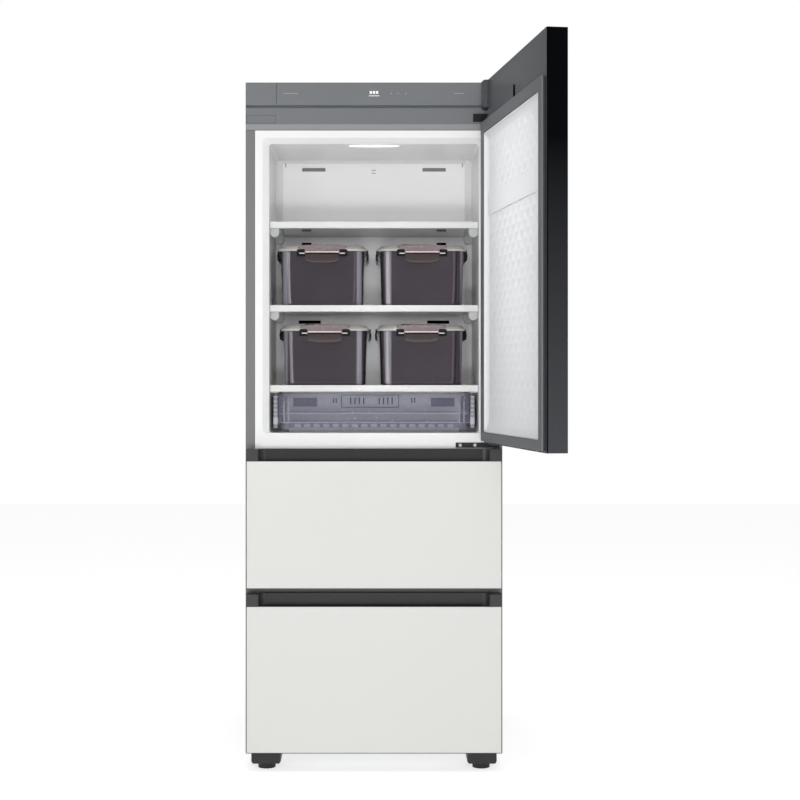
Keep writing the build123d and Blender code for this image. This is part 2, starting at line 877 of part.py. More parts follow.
for side, foot_name in ((-1, "levelling_foot_left"), (1, "levelling_foot_right")):
    with BuildPart() as levelling_foot:
        foot_plane = Plane(origin=(side * foot_x, foot_y, 0))
        with BuildSketch(foot_plane) as disc:
            Circle(foot_r)
            with PolarLocations(foot_r + flute_r * 0.35, flute_count):
                Circle(flute_r, mode=Mode.SUBTRACT)
        extrude(disc.sketch, amount=foot_h)
        rod(stem_r, (side * foot_x, foot_y, foot_h - 1), underside - foot_h - 3, (0, 0, 1))
    levelling_foot.part.label = foot_name
    export_step(levelling_foot.part, f"parts/{foot_name}.step")

with BuildPart() as rear_rollers:
    for side in both_sides:
        wheel_start = (side * foot_x - roller_w / 2, roller_y, roller_r)
        rod(roller_r, wheel_start, roller_w, (1, 0, 0))
        axle_start = (side * foot_x - fork_half, roller_y, roller_r)
        rod(axle_r, axle_start, 2 * fork_half, (1, 0, 0))
rear_rollers.part.label = "rear_rollers"
export_step(rear_rollers.part, "parts/rear_rollers.step")

# ================================================================ upper door, built about its pivot
# The door plane turns with the door: its x runs from the pivot to the hinge edge of the closed
# door, its y from the door's face towards the cabinet, and its z up from the floor.
opened = radians(rest_opening)
door_plane = Plane(
    origin=(pivot_x, pivot_y, 0), x_dir=(cos(opened), sin(opened), 0), z_dir=(0, 0, 1)
)
door_x = (-front_half - pivot_x, front_half - pivot_x)
door_y = (pivot_forward + front_outer, pivot_forward - seat)
door_z = (door_bottom, door_top)
seal_x = (door_x[0] + seal_inset, door_x[1] - hinge_seal_inset)
seal_z = (door_bottom + seal_inset, header_top - notch_low)
window_x = (seal_x[0] + seal_w, seal_x[1] - seal_w)
window_z = (seal_z[0] + seal_low_w, seal_z[1] - seal_w)
notch_x = (door_x[1] - notch_w, door_x[1])
notch_y = (door_y[0] + panel_t, door_y[1])
notch_z = (header_top + 1, header_top + 1 + notch_h)
inner_face = door_y[1]
seal_face = inner_face + seal_t

with BuildPart() as door_foam:
    block(
        (door_x[0] + front_wall, door_x[1] - front_wall),
        (door_y[0] + panel_t + front_wall, door_y[1] - front_wall),
        (door_z[0] + front_wall, door_z[1] - front_wall), plane=door_plane,
    )
    block(
        (notch_x[0] - front_wall, notch_x[1]), door_y,
        (notch_z[0] - front_wall, notch_z[1] + front_wall),
        plane=door_plane, mode=Mode.SUBTRACT,
    )
    with BuildSketch(door_plane.offset(door_z[0])) as lower_socket:
        Circle(lower_pin_r + bush_wall)
    extrude(lower_socket.sketch, amount=bush_h, mode=Mode.SUBTRACT)
    with BuildSketch(door_plane.offset(notch_z[0] - bush_h)) as upper_socket:
        Circle(upper_pin_r + bush_wall)
    extrude(upper_socket.sketch, amount=bush_h, mode=Mode.SUBTRACT)
door_foam.part.label = "door_foam"
export_step(door_foam.part, "parts/door_foam.step")

with BuildPart() as door_frame:
    block(door_x, door_y, door_z, plane=door_plane)
    upright_edges = door_frame.edges().filter_by(Axis.Z)
    fillet(upright_edges, radius=front_edge_r)
    block(
        (seal_x[1] - column_w, seal_x[1]), (inner_face, seal_face),
        (notch_z[1], door_z[1]), plane=door_plane,
    )
    column_rims = [
        edge for edge in door_frame.edges().filter_by(Axis.Z)
        if door_plane.to_local_coords(edge.center()).Y > inner_face + 1
    ]
    fillet(column_rims, radius=column_fillet)
    block(
        (door_x[0] + panel_lip, door_x[1] - panel_lip), (door_y[0] - 1, door_y[0] + panel_t),
        (door_z[0] + panel_lip, door_z[1] - panel_lip), plane=door_plane, mode=Mode.SUBTRACT,
    )
    block(
        window_x, (inner_face - front_wall - 1, inner_face + 1), window_z,
        plane=door_plane, mode=Mode.SUBTRACT,
    )
    block(
        (notch_x[0], notch_x[1] + 1), (notch_y[0], notch_y[1] + 1), notch_z,
        plane=door_plane, mode=Mode.SUBTRACT,
    )
    with BuildSketch(door_plane.offset(door_z[0])) as lower_bore:
        Circle(lower_pin_r + bush_wall)
    extrude(lower_bore.sketch, amount=bush_h, mode=Mode.SUBTRACT)
    with BuildSketch(door_plane.offset(notch_z[0] - bush_h)) as upper_bore:
        Circle(upper_pin_r + bush_wall)
    extrude(upper_bore.sketch, amount=bush_h, mode=Mode.SUBTRACT)
    striker_x = (door_x[0] + door_x[1]) / 2 - striker_offset
    block(
        (striker_x - striker_w / 2, striker_x + striker_w / 2),
        (inner_face - striker_t, inner_face + 1),
        (header_top + 2, header_top + 2 + striker_h), plane=door_plane, mode=Mode.SUBTRACT,
    )
    add(door_foam.part, mode=Mode.SUBTRACT)
door_frame.part.label = "door_frame"
export_step(door_frame.part, "parts/door_frame.step")

with BuildPart() as door_panel:
    block(
        (door_x[0] + panel_lip, door_x[1] - panel_lip), (door_y[0], door_y[0] + panel_t),
        (door_z[0] + panel_lip, door_z[1] - panel_lip), plane=door_plane,
    )
door_panel.part.label = "door_panel"
export_step(door_panel.part, "parts/door_panel.step")

# Dished inner liner: a raised rim, a sloping margin and a sunk field
with BuildPart() as door_liner:
    block(
        window_x, (inner_face - front_wall, inner_face + rim_proud), window_z,
        plane=door_plane,
    )
    liner_top = Plane(
        origin=door_plane.from_local_coords(Vector(0, inner_face + rim_proud, 0)),
        x_dir=door_plane.x_dir, z_dir=-door_plane.y_dir,
    )
    field_centre = ((window_x[0] + window_x[1]) / 2, (window_z[0] + window_z[1]) / 2)
    window_size = (window_x[1] - window_x[0], window_z[1] - window_z[0])
    with BuildSketch(liner_top) as dish_mouth:
        with Locations(field_centre):
            Rectangle(window_size[0] - 2 * rim_land, window_size[1] - 2 * rim_land)
    with BuildSketch(liner_top.offset(-dish_depth)) as dish_floor:
        dish_inset = rim_land + dish_slope
        with Locations(field_centre):
            Rectangle(window_size[0] - 2 * dish_inset, window_size[1] - 2 * dish_inset)
    loft([dish_mouth.sketch.face(), dish_floor.sketch.face()], mode=Mode.SUBTRACT)
door_liner.part.label = "door_liner"
export_step(door_liner.part, "parts/door_liner.step")


def seal_ring(plane, x_span, z_span, face_y, strip_w, low_strip_w):
    """A magnetic seal: a narrow root held in the front, and a wider lip that meets the cabinet."""
    inset = seal_base_inset
    root_y = (face_y, face_y + seal_base_t)
    lip_y = (face_y + seal_base_t, face_y + seal_t)
    block(
        (x_span[0] + inset, x_span[1] - inset), root_y, (z_span[0] + inset, z_span[1] - inset),
        plane=plane,
    )
    block(x_span, lip_y, z_span, plane=plane)
    block(
        (x_span[0] + strip_w, x_span[1] - strip_w), (face_y - 1, face_y + seal_t + 1),
        (z_span[0] + low_strip_w, z_span[1] - strip_w), plane=plane, mode=Mode.SUBTRACT,
    )


with BuildPart() as door_gasket:
    seal_ring(door_plane, seal_x, seal_z, inner_face, seal_w, seal_low_w)
door_gasket.part.label = "door_gasket"
export_step(door_gasket.part, "parts/door_gasket.step")

with BuildPart() as door_bushes:
    with BuildSketch(door_plane.offset(door_z[0])) as lower_ring:
        Circle(lower_pin_r + bush_wall)
    extrude(lower_ring.sketch, amount=bush_h)
    with BuildSketch(door_plane.offset(door_z[0])) as lower_hole:
        Circle(lower_pin_r + pin_play)
    extrude(lower_hole.sketch, amount=bush_h - bush_end, mode=Mode.SUBTRACT)
    with BuildSketch(door_plane.offset(notch_z[0] - bush_h)) as upper_ring:
        Circle(upper_pin_r + bush_wall)
    extrude(upper_ring.sketch, amount=bush_h)
    with BuildSketch(door_plane.offset(notch_z[0] - bush_h + bush_end)) as upper_hole:
        Circle(upper_pin_r + pin_play)
    extrude(upper_hole.sketch, amount=bush_h, mode=Mode.SUBTRACT)
door_bushes.part.label = "door_bushes"
export_step(door_bushes.part, "parts/door_bushes.step")

# ================================================================ hinges on the cabinet
def screw_heads(centre_x, centre_z, pitch):
    """Two round screw heads on a hinge plate, side by side."""
    for side in both_sides:
        head_start = (centre_x + side * pitch / 2, front - hinge_plate_t, centre_z)
        rod(screw_head_r, head_start, screw_head_t, (0, -1, 0))


lower_plate_low = middle_top + lower_plate_rise
lower_plate_z = (lower_plate_low, lower_plate_low + lower_plate_h)
lower_plate_x = (pivot_x - lower_plate_w, pivot_x + lower_arm_half)
lower_arm_high = lower_plate_z[1] - lower_arm_drop
lower_arm_z = (lower_arm_high - hinge_arm_t, lower_arm_high)
with BuildPart() as lower_hinge:
    block(lower_plate_x, from_front(-hinge_plate_t, 0), lower_plate_z)
    block(
        (pivot_x - lower_arm_half, pivot_x + lower_arm_half), from_front(-pivot_forward, 0),
        lower_arm_z,
    )
    rod(lower_arm_half, (pivot_x, pivot_y, lower_arm_z[0]), hinge_arm_t, (0, 0, 1))
    pin_start = (pivot_x, pivot_y, lower_arm_high)
    rod(lower_pin_r, pin_start, door_bottom + pin_reach - lower_arm_high, (0, 0, 1))
    shoulder_h = door_bottom - running_gap - lower_arm_high
    rod(lower_pin_r + pin_shoulder, pin_start, shoulder_h, (0, 0, 1))
with BuildPart() as lower_screws:
    screw_heads(
        lower_plate_x[0] + lower_screws_at[0], lower_plate_low + lower_screws_at[1],
        lower_screw_pitch,
    )
lower_hinge_set = Compound([lower_hinge.part, lower_screws.part], label="lower_hinge")
export_step(lower_hinge_set, "parts/lower_hinge.step")

# The upper arm comes in from the left of the pivot, so that the open door swings clear of it
upper_plate_low = header_top + upper_plate_rise
upper_plate_z = (upper_plate_low, upper_plate_low + upper_plate_h)
upper_plate_x = (pivot_x - upper_plate_reach, pivot_x - upper_plate_reach + upper_plate_w)
arm_root = Vector(pivot_x - upper_arm_root, front, 0)
arm_run = arm_root - Vector(pivot_x, pivot_y, 0)
arm_low = sum(upper_plate_z) / 2 - hinge_arm_t / 2
arm_plane = Plane(origin=(pivot_x, pivot_y, arm_low), x_dir=arm_run, z_dir=(0, 0, 1))
with BuildPart() as upper_hinge:
    arm_length = arm_run.length + 2 * hinge_arm_half
    block((0, arm_length), (-hinge_arm_half, hinge_arm_half), (0, hinge_arm_t), plane=arm_plane)
    block(full_half, from_front(0, control_depth), (header_top, groove_bottom), mode=Mode.SUBTRACT)
    rod(hinge_arm_half, (pivot_x, pivot_y, arm_low), hinge_arm_t, (0, 0, 1))
    block(upper_plate_x, from_front(-hinge_plate_t, 0), upper_plate_z)
    upper_pin_low = notch_z[0] - bush_h + bush_end + running_gap
    rod(upper_pin_r, (pivot_x, pivot_y, upper_pin_low), arm_low - upper_pin_low, (0, 0, 1))
    shoulder_low = notch_z[0] + running_gap
    rod(upper_pin_r + pin_shoulder, (pivot_x, pivot_y, shoulder_low), arm_low - shoulder_low,
        (0, 0, 1))
with BuildPart() as upper_screws:
    screw_heads(
        upper_plate_x[0] + upper_screws_at[0], upper_plate_low + upper_screws_at[1],
        upper_screw_pitch,
    )
upper_hinge_set = Compound([upper_hinge.part, upper_screws.part], label="upper_hinge")
export_step(upper_hinge_set, "parts/upper_hinge.step")

# ================================================================ drawers
front_y = (front + front_outer, front - seat)
channel_centres = [floor + (roof - floor) * runner_level for floor, roof, *_ in drawer_cavities]

with BuildPart() as fixed_rails:
    for level, (floor, roof, cavity, _, _) in zip(channel_centres, drawer_cavities):
        for side in both_sides:
            rail_span = from_front(mouth_border, cavity - channel_back_gap)
            wall = side * cavity_half
            block(
                sorted((wall, wall - side * channel_w)), rail_span,
                (level - channel_h / 2, level + channel_h / 2),
            )
            block(
                sorted((wall - side * channel_t, wall - side * (channel_w + 1))), rail_span,
                (level - channel_h / 2 + channel_t, level + channel_h / 2 - channel_t),
                mode=Mode.SUBTRACT,
            )
fixed_rails.part.label = "fixed_rails"
export_step(fixed_rails.part, "parts/fixed_rails.step")

drawer_fronts = (
    ("middle", middle_bottom, middle_top, channel_centres[0], drawer_cavities[0]),
    ("lower", front_bottom, lower_top, channel_centres[1], drawer_cavities[1]),
)
grip_half = front_half - grip_end_block
for drawer, low, high, level, (floor, roof, cavity, _, _) in drawer_fronts:
    grip_floor = high - grip_open_h - grip_hook_h
    panel_top = high - grip_open_h
    grip_plane = Plane.XY.offset(grip_floor)
    grip_back = front_y[0] + grip_recess_d
    pocket_back = front_y[0] + panel_t

    with BuildPart() as grip_void:
        block((-grip_half, grip_half), (front_y[0] - 1, grip_back), (grip_floor, high))
        corners = grip_void.edges().filter_by(Axis.Z).group_by(Axis.Y)[-1]
        fillet(corners, radius=grip_corner)

    with BuildPart() as front_frame:
        block((-front_half, front_half), front_y, (low, high))
        fillet(front_frame.edges().filter_by(Axis.Z), radius=front_edge_r)
        block(
            (-front_half + front_wall, front_half - front_wall),
            (pocket_back + front_wall, front_y[1] - front_wall),
            (low + front_wall, grip_floor - front_wall), mode=Mode.SUBTRACT,
        )
        add(grip_void.part, mode=Mode.SUBTRACT)
        block(
            (-front_half + panel_lip, front_half - panel_lip), (front_y[0] - 1, pocket_back),
            (low + panel_lip, panel_top), mode=Mode.SUBTRACT,
        )
    front_frame.part.label = f"{drawer}_front_frame"
    export_step(front_frame.part, f"parts/{drawer}_front_frame.step")

    with BuildPart() as front_panel:
        block(
            (-front_half + panel_lip, front_half - panel_lip), (front_y[0], pocket_back),
            (low + panel_lip, panel_top),
        )
    front_panel.part.label = f"{drawer}_front_panel"
    export_step(front_panel.part, f"parts/{drawer}_front_panel.step")

    # The grip is a thin moulding that lines the recess, with a hook behind the panel's top edge
    with BuildPart() as grip:
        block((-grip_half, grip_half), (pocket_back, grip_back), (grip_floor, high))
        corners = grip.edges().filter_by(Axis.Z).group_by(Axis.Y)[-1]
        fillet(corners, radius=grip_corner)
        block(
            (-grip_half + grip_wall, grip_half - grip_wall),
            (pocket_back + grip_wall, grip_back - grip_wall),
            (grip_floor + grip_wall, high + 1), mode=Mode.SUBTRACT,
        )
        block(
            (-grip_half - 1, grip_half + 1), (pocket_back - 1, pocket_back + grip_wall),
            (panel_top, high + 1), mode=Mode.SUBTRACT,
        )
    grip.part.label = f"{drawer}_grip"
    export_step(grip.part, f"parts/{drawer}_grip.step")

    with BuildPart() as front_gasket:
        seal_ring(
            Plane.XY, (-front_half + seal_inset, front_half - seal_inset),
            (low + seal_inset, high - seal_inset), front_y[1], drawer_seal_w, drawer_seal_low_w,
        )
    front_gasket.part.label = f"{drawer}_gasket"
    export_step(front_gasket.part, f"parts/{drawer}_gasket.step")

    runner_half_h = channel_h / 2 - channel_t - running_gap
    runner_outer = cavity_half - channel_t - running_gap
    with BuildPart() as runners:
        for side in both_sides:
            block(
                sorted((side * runner_outer, side * (runner_outer - runner_reach))),
                (front_y[1], front + cavity - channel_back_gap),
                (level - runner_half_h, level + runner_half_h),
            )
    runners.part.label = f"{drawer}_runners"
    export_step(runners.part, f"parts/{drawer}_runners.step")

    bin_half = runner_outer - runner_reach
    bin_low = floor + bin_floor_gap
    bin_high = roof - bin_top_gap
    bin_length = cavity - bin_front_gap - bin_back_gap
    bin_face = front_face.offset(-bin_front_gap)
    with BuildPart() as bin_tub:
        with BuildSketch(bin_face) as bin_outline:
            with Locations((0, (bin_low + bin_high) / 2)):
                Rectangle(2 * bin_half, bin_high - bin_low)
            fillet(bin_outline.vertices().group_by(Axis.Y)[0], radius=bin_corner)
        extrude(bin_outline.sketch, amount=-bin_length)
        with BuildSketch(bin_face.offset(-bin_wall)) as bin_hollow:
            with Locations((0, (bin_low + bin_high) / 2 + bin_wall)):
                Rectangle(2 * (bin_half - bin_wall), bin_high - bin_low)
            fillet(bin_hollow.vertices().group_by(Axis.Y)[0], radius=bin_corner - bin_wall)
        extrude(bin_hollow.sketch, amount=-(bin_length - 2 * bin_wall), mode=Mode.SUBTRACT)
    bin_tub.part.label = f"{drawer}_bin"
    export_step(bin_tub.part, f"parts/{drawer}_bin.step")

# ================================================================ clear tray
tray_low = sill_top + running_gap
tray_half = cavity_half - tray_side_gap
tray_face = front_face.offset(-tray_setback)
with BuildPart() as clear_tray:
    with BuildSketch(tray_face) as tray_outline:
        with Locations((0, tray_low + tray_h / 2)):
            Rectangle(2 * tray_half, tray_h)
        fillet(tray_outline.vertices().group_by(Axis.Y)[0], radius=tray_corner)
    extrude(tray_outline.sketch, amount=-tray_d)
    with BuildSketch(tray_face.offset(-tray_wall)) as tray_hollow:
        with Locations((0, tray_low + tray_h / 2 + tray_wall)):
            Rectangle(2 * (tray_half - tray_wall), tray_h)
        fillet(tray_hollow.vertices().group_by(Axis.Y)[0], radius=tray_corner - tray_wall)
    extrude(tray_hollow.sketch, amount=-(tray_d - 2 * tray_wall), mode=Mode.SUBTRACT)
clear_tray.part.label = "clear_tray"
export_step(clear_tray.part, "parts/clear_tray.step")

# ================================================================ kimchi containers
# Each one stands in its half of a shelf, a little way in from the side wall
tub_top_w = cavity_half - tub_room
tub_bottom_w = tub_top_w - 2 * tub_draft
lid_reach = rim_w + lid_gap + lid_wall
tub_d = cavity_depth - tub_setback - lid_reach - tub_back_gap
tub_bottom_d = tub_d - 2 * tub_draft
draft_angle = -degrees(atan(tub_draft / tub_h))
tub_centre_y = front + tub_setback + tub_d / 2
tub_places = (
    (shelf_tops[0], -1, low_left_gap),
    (shelf_tops[0], 1, low_right_gap),
    (shelf_tops[1], -1, high_left_gap),
    (shelf_tops[1], 1, high_right_gap),
)
for number, (shelf_top, tub_side, wall_gap) in enumerate(tub_places, start=1):
    tub_x = tub_side * (cavity_half - wall_gap - clip_t - lid_reach - tub_top_w / 2)
    tub_low = shelf_top + running_gap
    tub_plane = Plane(origin=(tub_x, tub_centre_y, tub_low))
    rim_plane = tub_plane.offset(tub_h - rim_h)

    with BuildPart() as container_tub:
        with BuildSketch(tub_plane) as tub_floor:
            RectangleRounded(tub_bottom_w, tub_bottom_d, tub_corner)
        extrude(tub_floor.sketch, amount=tub_h, taper=draft_angle)
        with BuildSketch(rim_plane) as rim:
            RectangleRounded(tub_top_w + 2 * rim_w, tub_d + 2 * rim_w, tub_corner + rim_w)
        extrude(rim.sketch, amount=rim_h)
        with BuildSketch(tub_plane.offset(tub_wall)) as tub_hollow:
            RectangleRounded(
                tub_bottom_w - 2 * tub_wall, tub_bottom_d - 2 * tub_wall, tub_corner - tub_wall
            )
        extrude(tub_hollow.sketch, amount=tub_h, taper=draft_angle, mode=Mode.SUBTRACT)
    container_tub.part.label = f"container_{number}_tub"
    export_step(container_tub.part, f"parts/container_{number}_tub.step")

    # The lid's skirt hangs round the rim; the grip bar, side clips and latch lugs are on the lid
    skirt_w = tub_top_w + 2 * lid_reach
    skirt_d = tub_d + 2 * lid_reach
    skirt_corner = tub_corner + lid_reach
    lid_front = tub_centre_y - skirt_d / 2
    lid_top_z = tub_low + tub_h + lid_wall + lid_crown
    pin_y = lid_front - latch_standoff
    pin_z = tub_low + tub_h - latch_pin_drop
    lug_out = latch_w / 2 + running_gap + latch_lug_w
    with BuildPart() as lid:
        with BuildSketch(tub_plane.offset(tub_h - lid_skirt)) as skirt:
            RectangleRounded(skirt_w, skirt_d, skirt_corner)
        extrude(skirt.sketch, amount=lid_skirt + lid_wall)
        with BuildSketch(tub_plane.offset(tub_h - lid_skirt)) as skirt_hollow:
            RectangleRounded(
                skirt_w - 2 * lid_wall, skirt_d - 2 * lid_wall, skirt_corner - lid_wall
            )
        extrude(skirt_hollow.sketch, amount=lid_skirt, mode=Mode.SUBTRACT)
        with BuildSketch(tub_plane.offset(tub_h + lid_wall)) as crown:
            RectangleRounded(
                skirt_w - 2 * crown_inset[0], skirt_d - 2 * crown_inset[1], crown_corner
            )
        extrude(crown.sketch, amount=lid_crown, taper=crown_slope)
        for side in both_sides:
            block(
                sorted((tub_x + side * (latch_w / 2 + running_gap), tub_x + side * lug_out)),
                (pin_y - latch_lug_half, lid_front + lid_wall),
                (pin_z - latch_lug_half, tub_low + tub_h),
            )
        bore_start = (tub_x - lug_out - 1, pin_y, pin_z)
        rod(latch_pin_r + pin_play, bore_start, 2 * lug_out + 2, (1, 0, 0), mode=Mode.SUBTRACT)
    with BuildPart() as grip_bar:
        grip_y = lid_front + grip_setback + grip_d / 2
        with BuildSketch(Plane(origin=(tub_x, grip_y, lid_top_z))) as bar:
            RectangleRounded(grip_w, grip_d, grip_plan_r)
        extrude(bar.sketch, amount=grip_h)
        fillet(grip_bar.faces().sort_by(Axis.Z)[-1].edges(), radius=grip_edge_r)
    with BuildPart() as side_clips:
        for side in both_sides:
            clip_face = tub_x + side * skirt_w / 2
            block(
                sorted((clip_face, clip_face + side * clip_t)),
                (tub_centre_y - clip_w / 2, tub_centre_y + clip_w / 2),
                (tub_low + tub_h + lid_wall - clip_h, tub_low + tub_h + lid_wall),
            )
    lid_set = Compound(
        [lid.part, grip_bar.part, *side_clips.part.solids()], label=f"container_{number}_lid"
    )
    export_step(lid_set, f"parts/container_{number}_lid.step")

    # The latch hangs on its own pins and swings out and up
    with BuildPart() as latch:
        latch_top = pin_z + latch_pin_r + latch_cover
        block(
            (tub_x - latch_w / 2, tub_x + latch_w / 2),
            (pin_y - latch_t / 2, pin_y + latch_t / 2), (latch_top - latch_h, latch_top),
        )
        low_corners = latch.edges().filter_by(Axis.Y).group_by(Axis.Z)[0]
        fillet(low_corners, radius=latch_corner)
        pin_start = (tub_x - lug_out, pin_y, pin_z)
        rod(latch_pin_r, pin_start, 2 * lug_out, (1, 0, 0))
    latch.part.label = f"container_{number}_latch"
    export_step(latch.part, f"parts/container_{number}_latch.step")
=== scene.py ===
"""Kimchi refrigerator: an upper door standing open over two drawers.

Metres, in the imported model's frame: -Y is the front, +Z is up, and the floor is at z = 0.
"""
import math

import bmesh
import bpy
from mathutils import Matrix, Vector


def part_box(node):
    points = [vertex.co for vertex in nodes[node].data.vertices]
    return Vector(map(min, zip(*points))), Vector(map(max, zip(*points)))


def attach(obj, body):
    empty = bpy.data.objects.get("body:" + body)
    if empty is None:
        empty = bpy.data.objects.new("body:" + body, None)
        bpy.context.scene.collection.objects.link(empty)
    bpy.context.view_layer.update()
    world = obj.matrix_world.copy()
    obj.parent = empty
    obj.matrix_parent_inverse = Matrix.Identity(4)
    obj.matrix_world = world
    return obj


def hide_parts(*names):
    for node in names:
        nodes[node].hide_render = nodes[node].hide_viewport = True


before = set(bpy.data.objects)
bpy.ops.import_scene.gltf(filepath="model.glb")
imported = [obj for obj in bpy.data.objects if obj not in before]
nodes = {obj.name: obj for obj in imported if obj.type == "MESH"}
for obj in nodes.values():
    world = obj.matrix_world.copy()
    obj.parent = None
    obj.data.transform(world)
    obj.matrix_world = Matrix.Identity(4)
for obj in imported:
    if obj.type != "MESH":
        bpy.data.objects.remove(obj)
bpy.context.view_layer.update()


# ---------------------------------------------------------------- outer case
# One sheet of pre-painted steel folded over the sides and the top, with a narrow front border.
# Its satin grey enamel has the faint orange peel of a coil-coated sheet, and rolled edges.
CASE_GREY = (122, 121, 122)
CASE_EDGE = 0.00035
HEADER_HIGHLIGHT_GREY = (147, 148, 149)
HEADER_SPAN = (1.7228, 1.7412)
HEADER_SHADOW = (1.74, 1.7512)
BORDER_JOINT = (0.3220, 0.3236)
BORDER_TOP = 1.7246
BORDER_FOOT = 0.8660
JOINT_GREY = (84, 85, 88)
PAINT_EDGE = 0.0002
PAINT_FADE = 0.0003
FRONT_FACE = -0.3365
EDGE_THIN = 0.0006
EDGE_FINE = 0.0008
EDGE_SOFT = 0.001
EDGE_BROAD = 0.0012
HARD_EDGE = math.radians(32)
WELD_REACH = 0.00001


def screen(red, green, blue, alpha=1.0):
    """A colour as a screen shows it, 0 to 255, as linear light."""
    def linear(level):
        share = level / 255
        return share / 12.92 if share <= 0.04045 else ((share + 0.055) / 1.055) ** 2.4
    return (linear(red), linear(green), linear(blue), alpha)


def fill_socket(tree, socket, value):
    """Give an input its value, which is another node's output or a plain one."""
    if isinstance(value, bpy.types.NodeSocket):
        tree.links.new(value, socket)
    else:
        socket.default_value = value


def maths(tree, operation, *values):
    """The result of one maths node. Each value is an output or a number."""
    node = tree.nodes.new("ShaderNodeMath")
    node.operation = operation
    for socket, value in zip(node.inputs, values):
        fill_socket(tree, socket, value)
    return node.outputs[0]


def ramp(tree, value, start, end, low=0.0, high=1.0):
    """A value that goes from low to high while another goes from start to end."""
    node = tree.nodes.new("ShaderNodeMapRange")
    for label, given in (
        ("Value", value), ("From Min", start), ("From Max", end), ("To Min", low), ("To Max", high),
    ):
        fill_socket(tree, node.inputs[label], given)
    return node.outputs["Result"]


def make_surface_group():
    """Node group: fine grain in the relief, slow drift in the colour, patches in the gloss."""
    group = bpy.data.node_groups.new("moulded_surface", "ShaderNodeTree")
    face = group.interface
    face.new_socket("Colour", in_out="INPUT", socket_type="NodeSocketColor")
    for label, value in (
        ("Roughness", 0.4), ("Gloss patches", 0.06), ("Grain size", 0.0015),
        ("Grain depth", 0.00002), ("Drift", 0.03), ("Drift size", 0.4),
    ):
        socket = face.new_socket(label, in_out="INPUT", socket_type="NodeSocketFloat")
        socket.default_value = value
    face.new_socket("Colour", in_out="OUTPUT", socket_type="NodeSocketColor")
    face.new_socket("Roughness", in_out="OUTPUT", socket_type="NodeSocketFloat")
    face.new_socket("Normal", in_out="OUTPUT", socket_type="NodeSocketVector")
    tree, link = group.nodes, group.links.new
    given = tree.new("NodeGroupInput")
    made = tree.new("NodeGroupOutput")
    place = tree.new("ShaderNodeTexCoord")

    def noise(size, detail):
        node = tree.new("ShaderNodeTexNoise")
        node.inputs["Detail"].default_value = detail
        link(place.outputs["Object"], node.inputs["Vector"])
        link(maths(group, "DIVIDE", 1.0, given.outputs[size]), node.inputs["Scale"])
        return node.outputs["Fac"]

    grain = noise("Grain size", 2.0)
    drift = noise("Drift size", 3.0)
    relief = tree.new("ShaderNodeBump")
    link(given.outputs["Grain depth"], relief.inputs["Distance"])
    link(grain, relief.inputs["Height"])
    link(relief.outputs["Normal"], made.inputs["Normal"])

    centred = ramp(group, drift, 0.0, 1.0, low=-1.0)
    patches = maths(group, "MULTIPLY_ADD", centred, given.outputs["Gloss patches"],
                    given.outputs["Roughness"])
    link(patches, made.inputs["Roughness"])
    tint = tree.new("ShaderNodeVectorMath")
    tint.operation = "SCALE"
    link(given.outputs["Colour"], tint.inputs[0])
    link(maths(group, "MULTIPLY_ADD", centred, given.outputs["Drift"], 1.0), tint.inputs["Scale"])
    link(tint.outputs[0], made.inputs["Colour"])
    return group


surface_group = make_surface_group()


def finish_of(name, colour, roughness, grain_size=0.0015, grain_depth=0.00002, drift=0.03,
              drift_size=0.4, gloss_patches=0.05, **shader_values):
    """A material with the shared surface group. Other values go on the shader's own sockets."""
    material = bpy.data.materials.new(name)
    material.use_nodes = True
    tree = material.node_tree
    shader = tree.nodes["Principled BSDF"]
    surface = tree.nodes.new("ShaderNodeGroup")
    surface.node_tree = surface_group
    surface.inputs["Colour"].default_value = screen(*colour)
    for label, value in (
        ("Roughness", roughness), ("Gloss patches", gloss_patches), ("Grain size", grain_size),
        ("Grain depth", grain_depth), ("Drift", drift), ("Drift size", drift_size),
    ):
        surface.inputs[label].default_value = value
    tree.links.new(surface.outputs["Colour"], shader.inputs["Base Color"])
    tree.links.new(surface.outputs["Roughness"], shader.inputs["Roughness"])
    tree.links.new(surface.outputs["Normal"], shader.inputs["Normal"])
    for socket, value in shader_values.items():
        shader.inputs[socket.replace("_", " ")].default_value = value
    return material


def dress(node, material):
    """Give a frame node its material."""
    piece = nodes[node]
    piece.data.materials.clear()
    piece.data.materials.append(material)
    return piece


def soften(piece, width=EDGE_SOFT, segments=2):
    """Ease a piece's hard edges with a small bevel, and shade its faces smoothly between them."""
    if "custom_normal" in piece.data.attributes:
        piece.data.attributes.remove(piece.data.attributes["custom_normal"])
    weld = piece.modifiers.new("joined_corners", "WELD")
    weld.merge_threshold = WELD_REACH
    bevel = piece.modifiers.new("eased_edges", "BEVEL")
    bevel.width = width
    bevel.segments = segments
    bevel.limit_method = "ANGLE"
    bevel.angle_limit = HARD_EDGE
    bevel.harden_normals = True
    piece.data.polygons.foreach_set("use_smooth", [True] * len(piece.data.polygons))
    return piece


def paint_over(material, build):
    """Lay more over a material. The function gets its tree, places, own colour and shader."""
    tree = material.node_tree
    surface = next(node for node in tree.nodes if node.type == "GROUP")
    place = tree.nodes.new("ShaderNodeTexCoord").outputs["Object"]
    build(tree, place, surface.outputs["Colour"], tree.nodes["Principled BSDF"])


def along(tree, place, direction, offset):
    """How far a point lies along a direction."""
    dot = tree.nodes.new("ShaderNodeVectorMath")
    dot.operation = "DOT_PRODUCT"
    dot.inputs[1].default_value = direction
    tree.links.new(place, dot.inputs[0])
    return maths(tree, "SUBTRACT", dot.outputs["Value"], offset)


def between(tree, value, low, high, soft=PAINT_EDGE):
    """A mask: 1 between two values, with soft borders."""
    rise = ramp(tree, value, low - soft, low + soft)
    return maths(tree, "MULTIPLY", rise, ramp(tree, value, high + soft, high - soft))


def magnitude(tree, value):
    """A value without its sign, for what repeats on both sides."""
    return maths(tree, "ABSOLUTE", value)


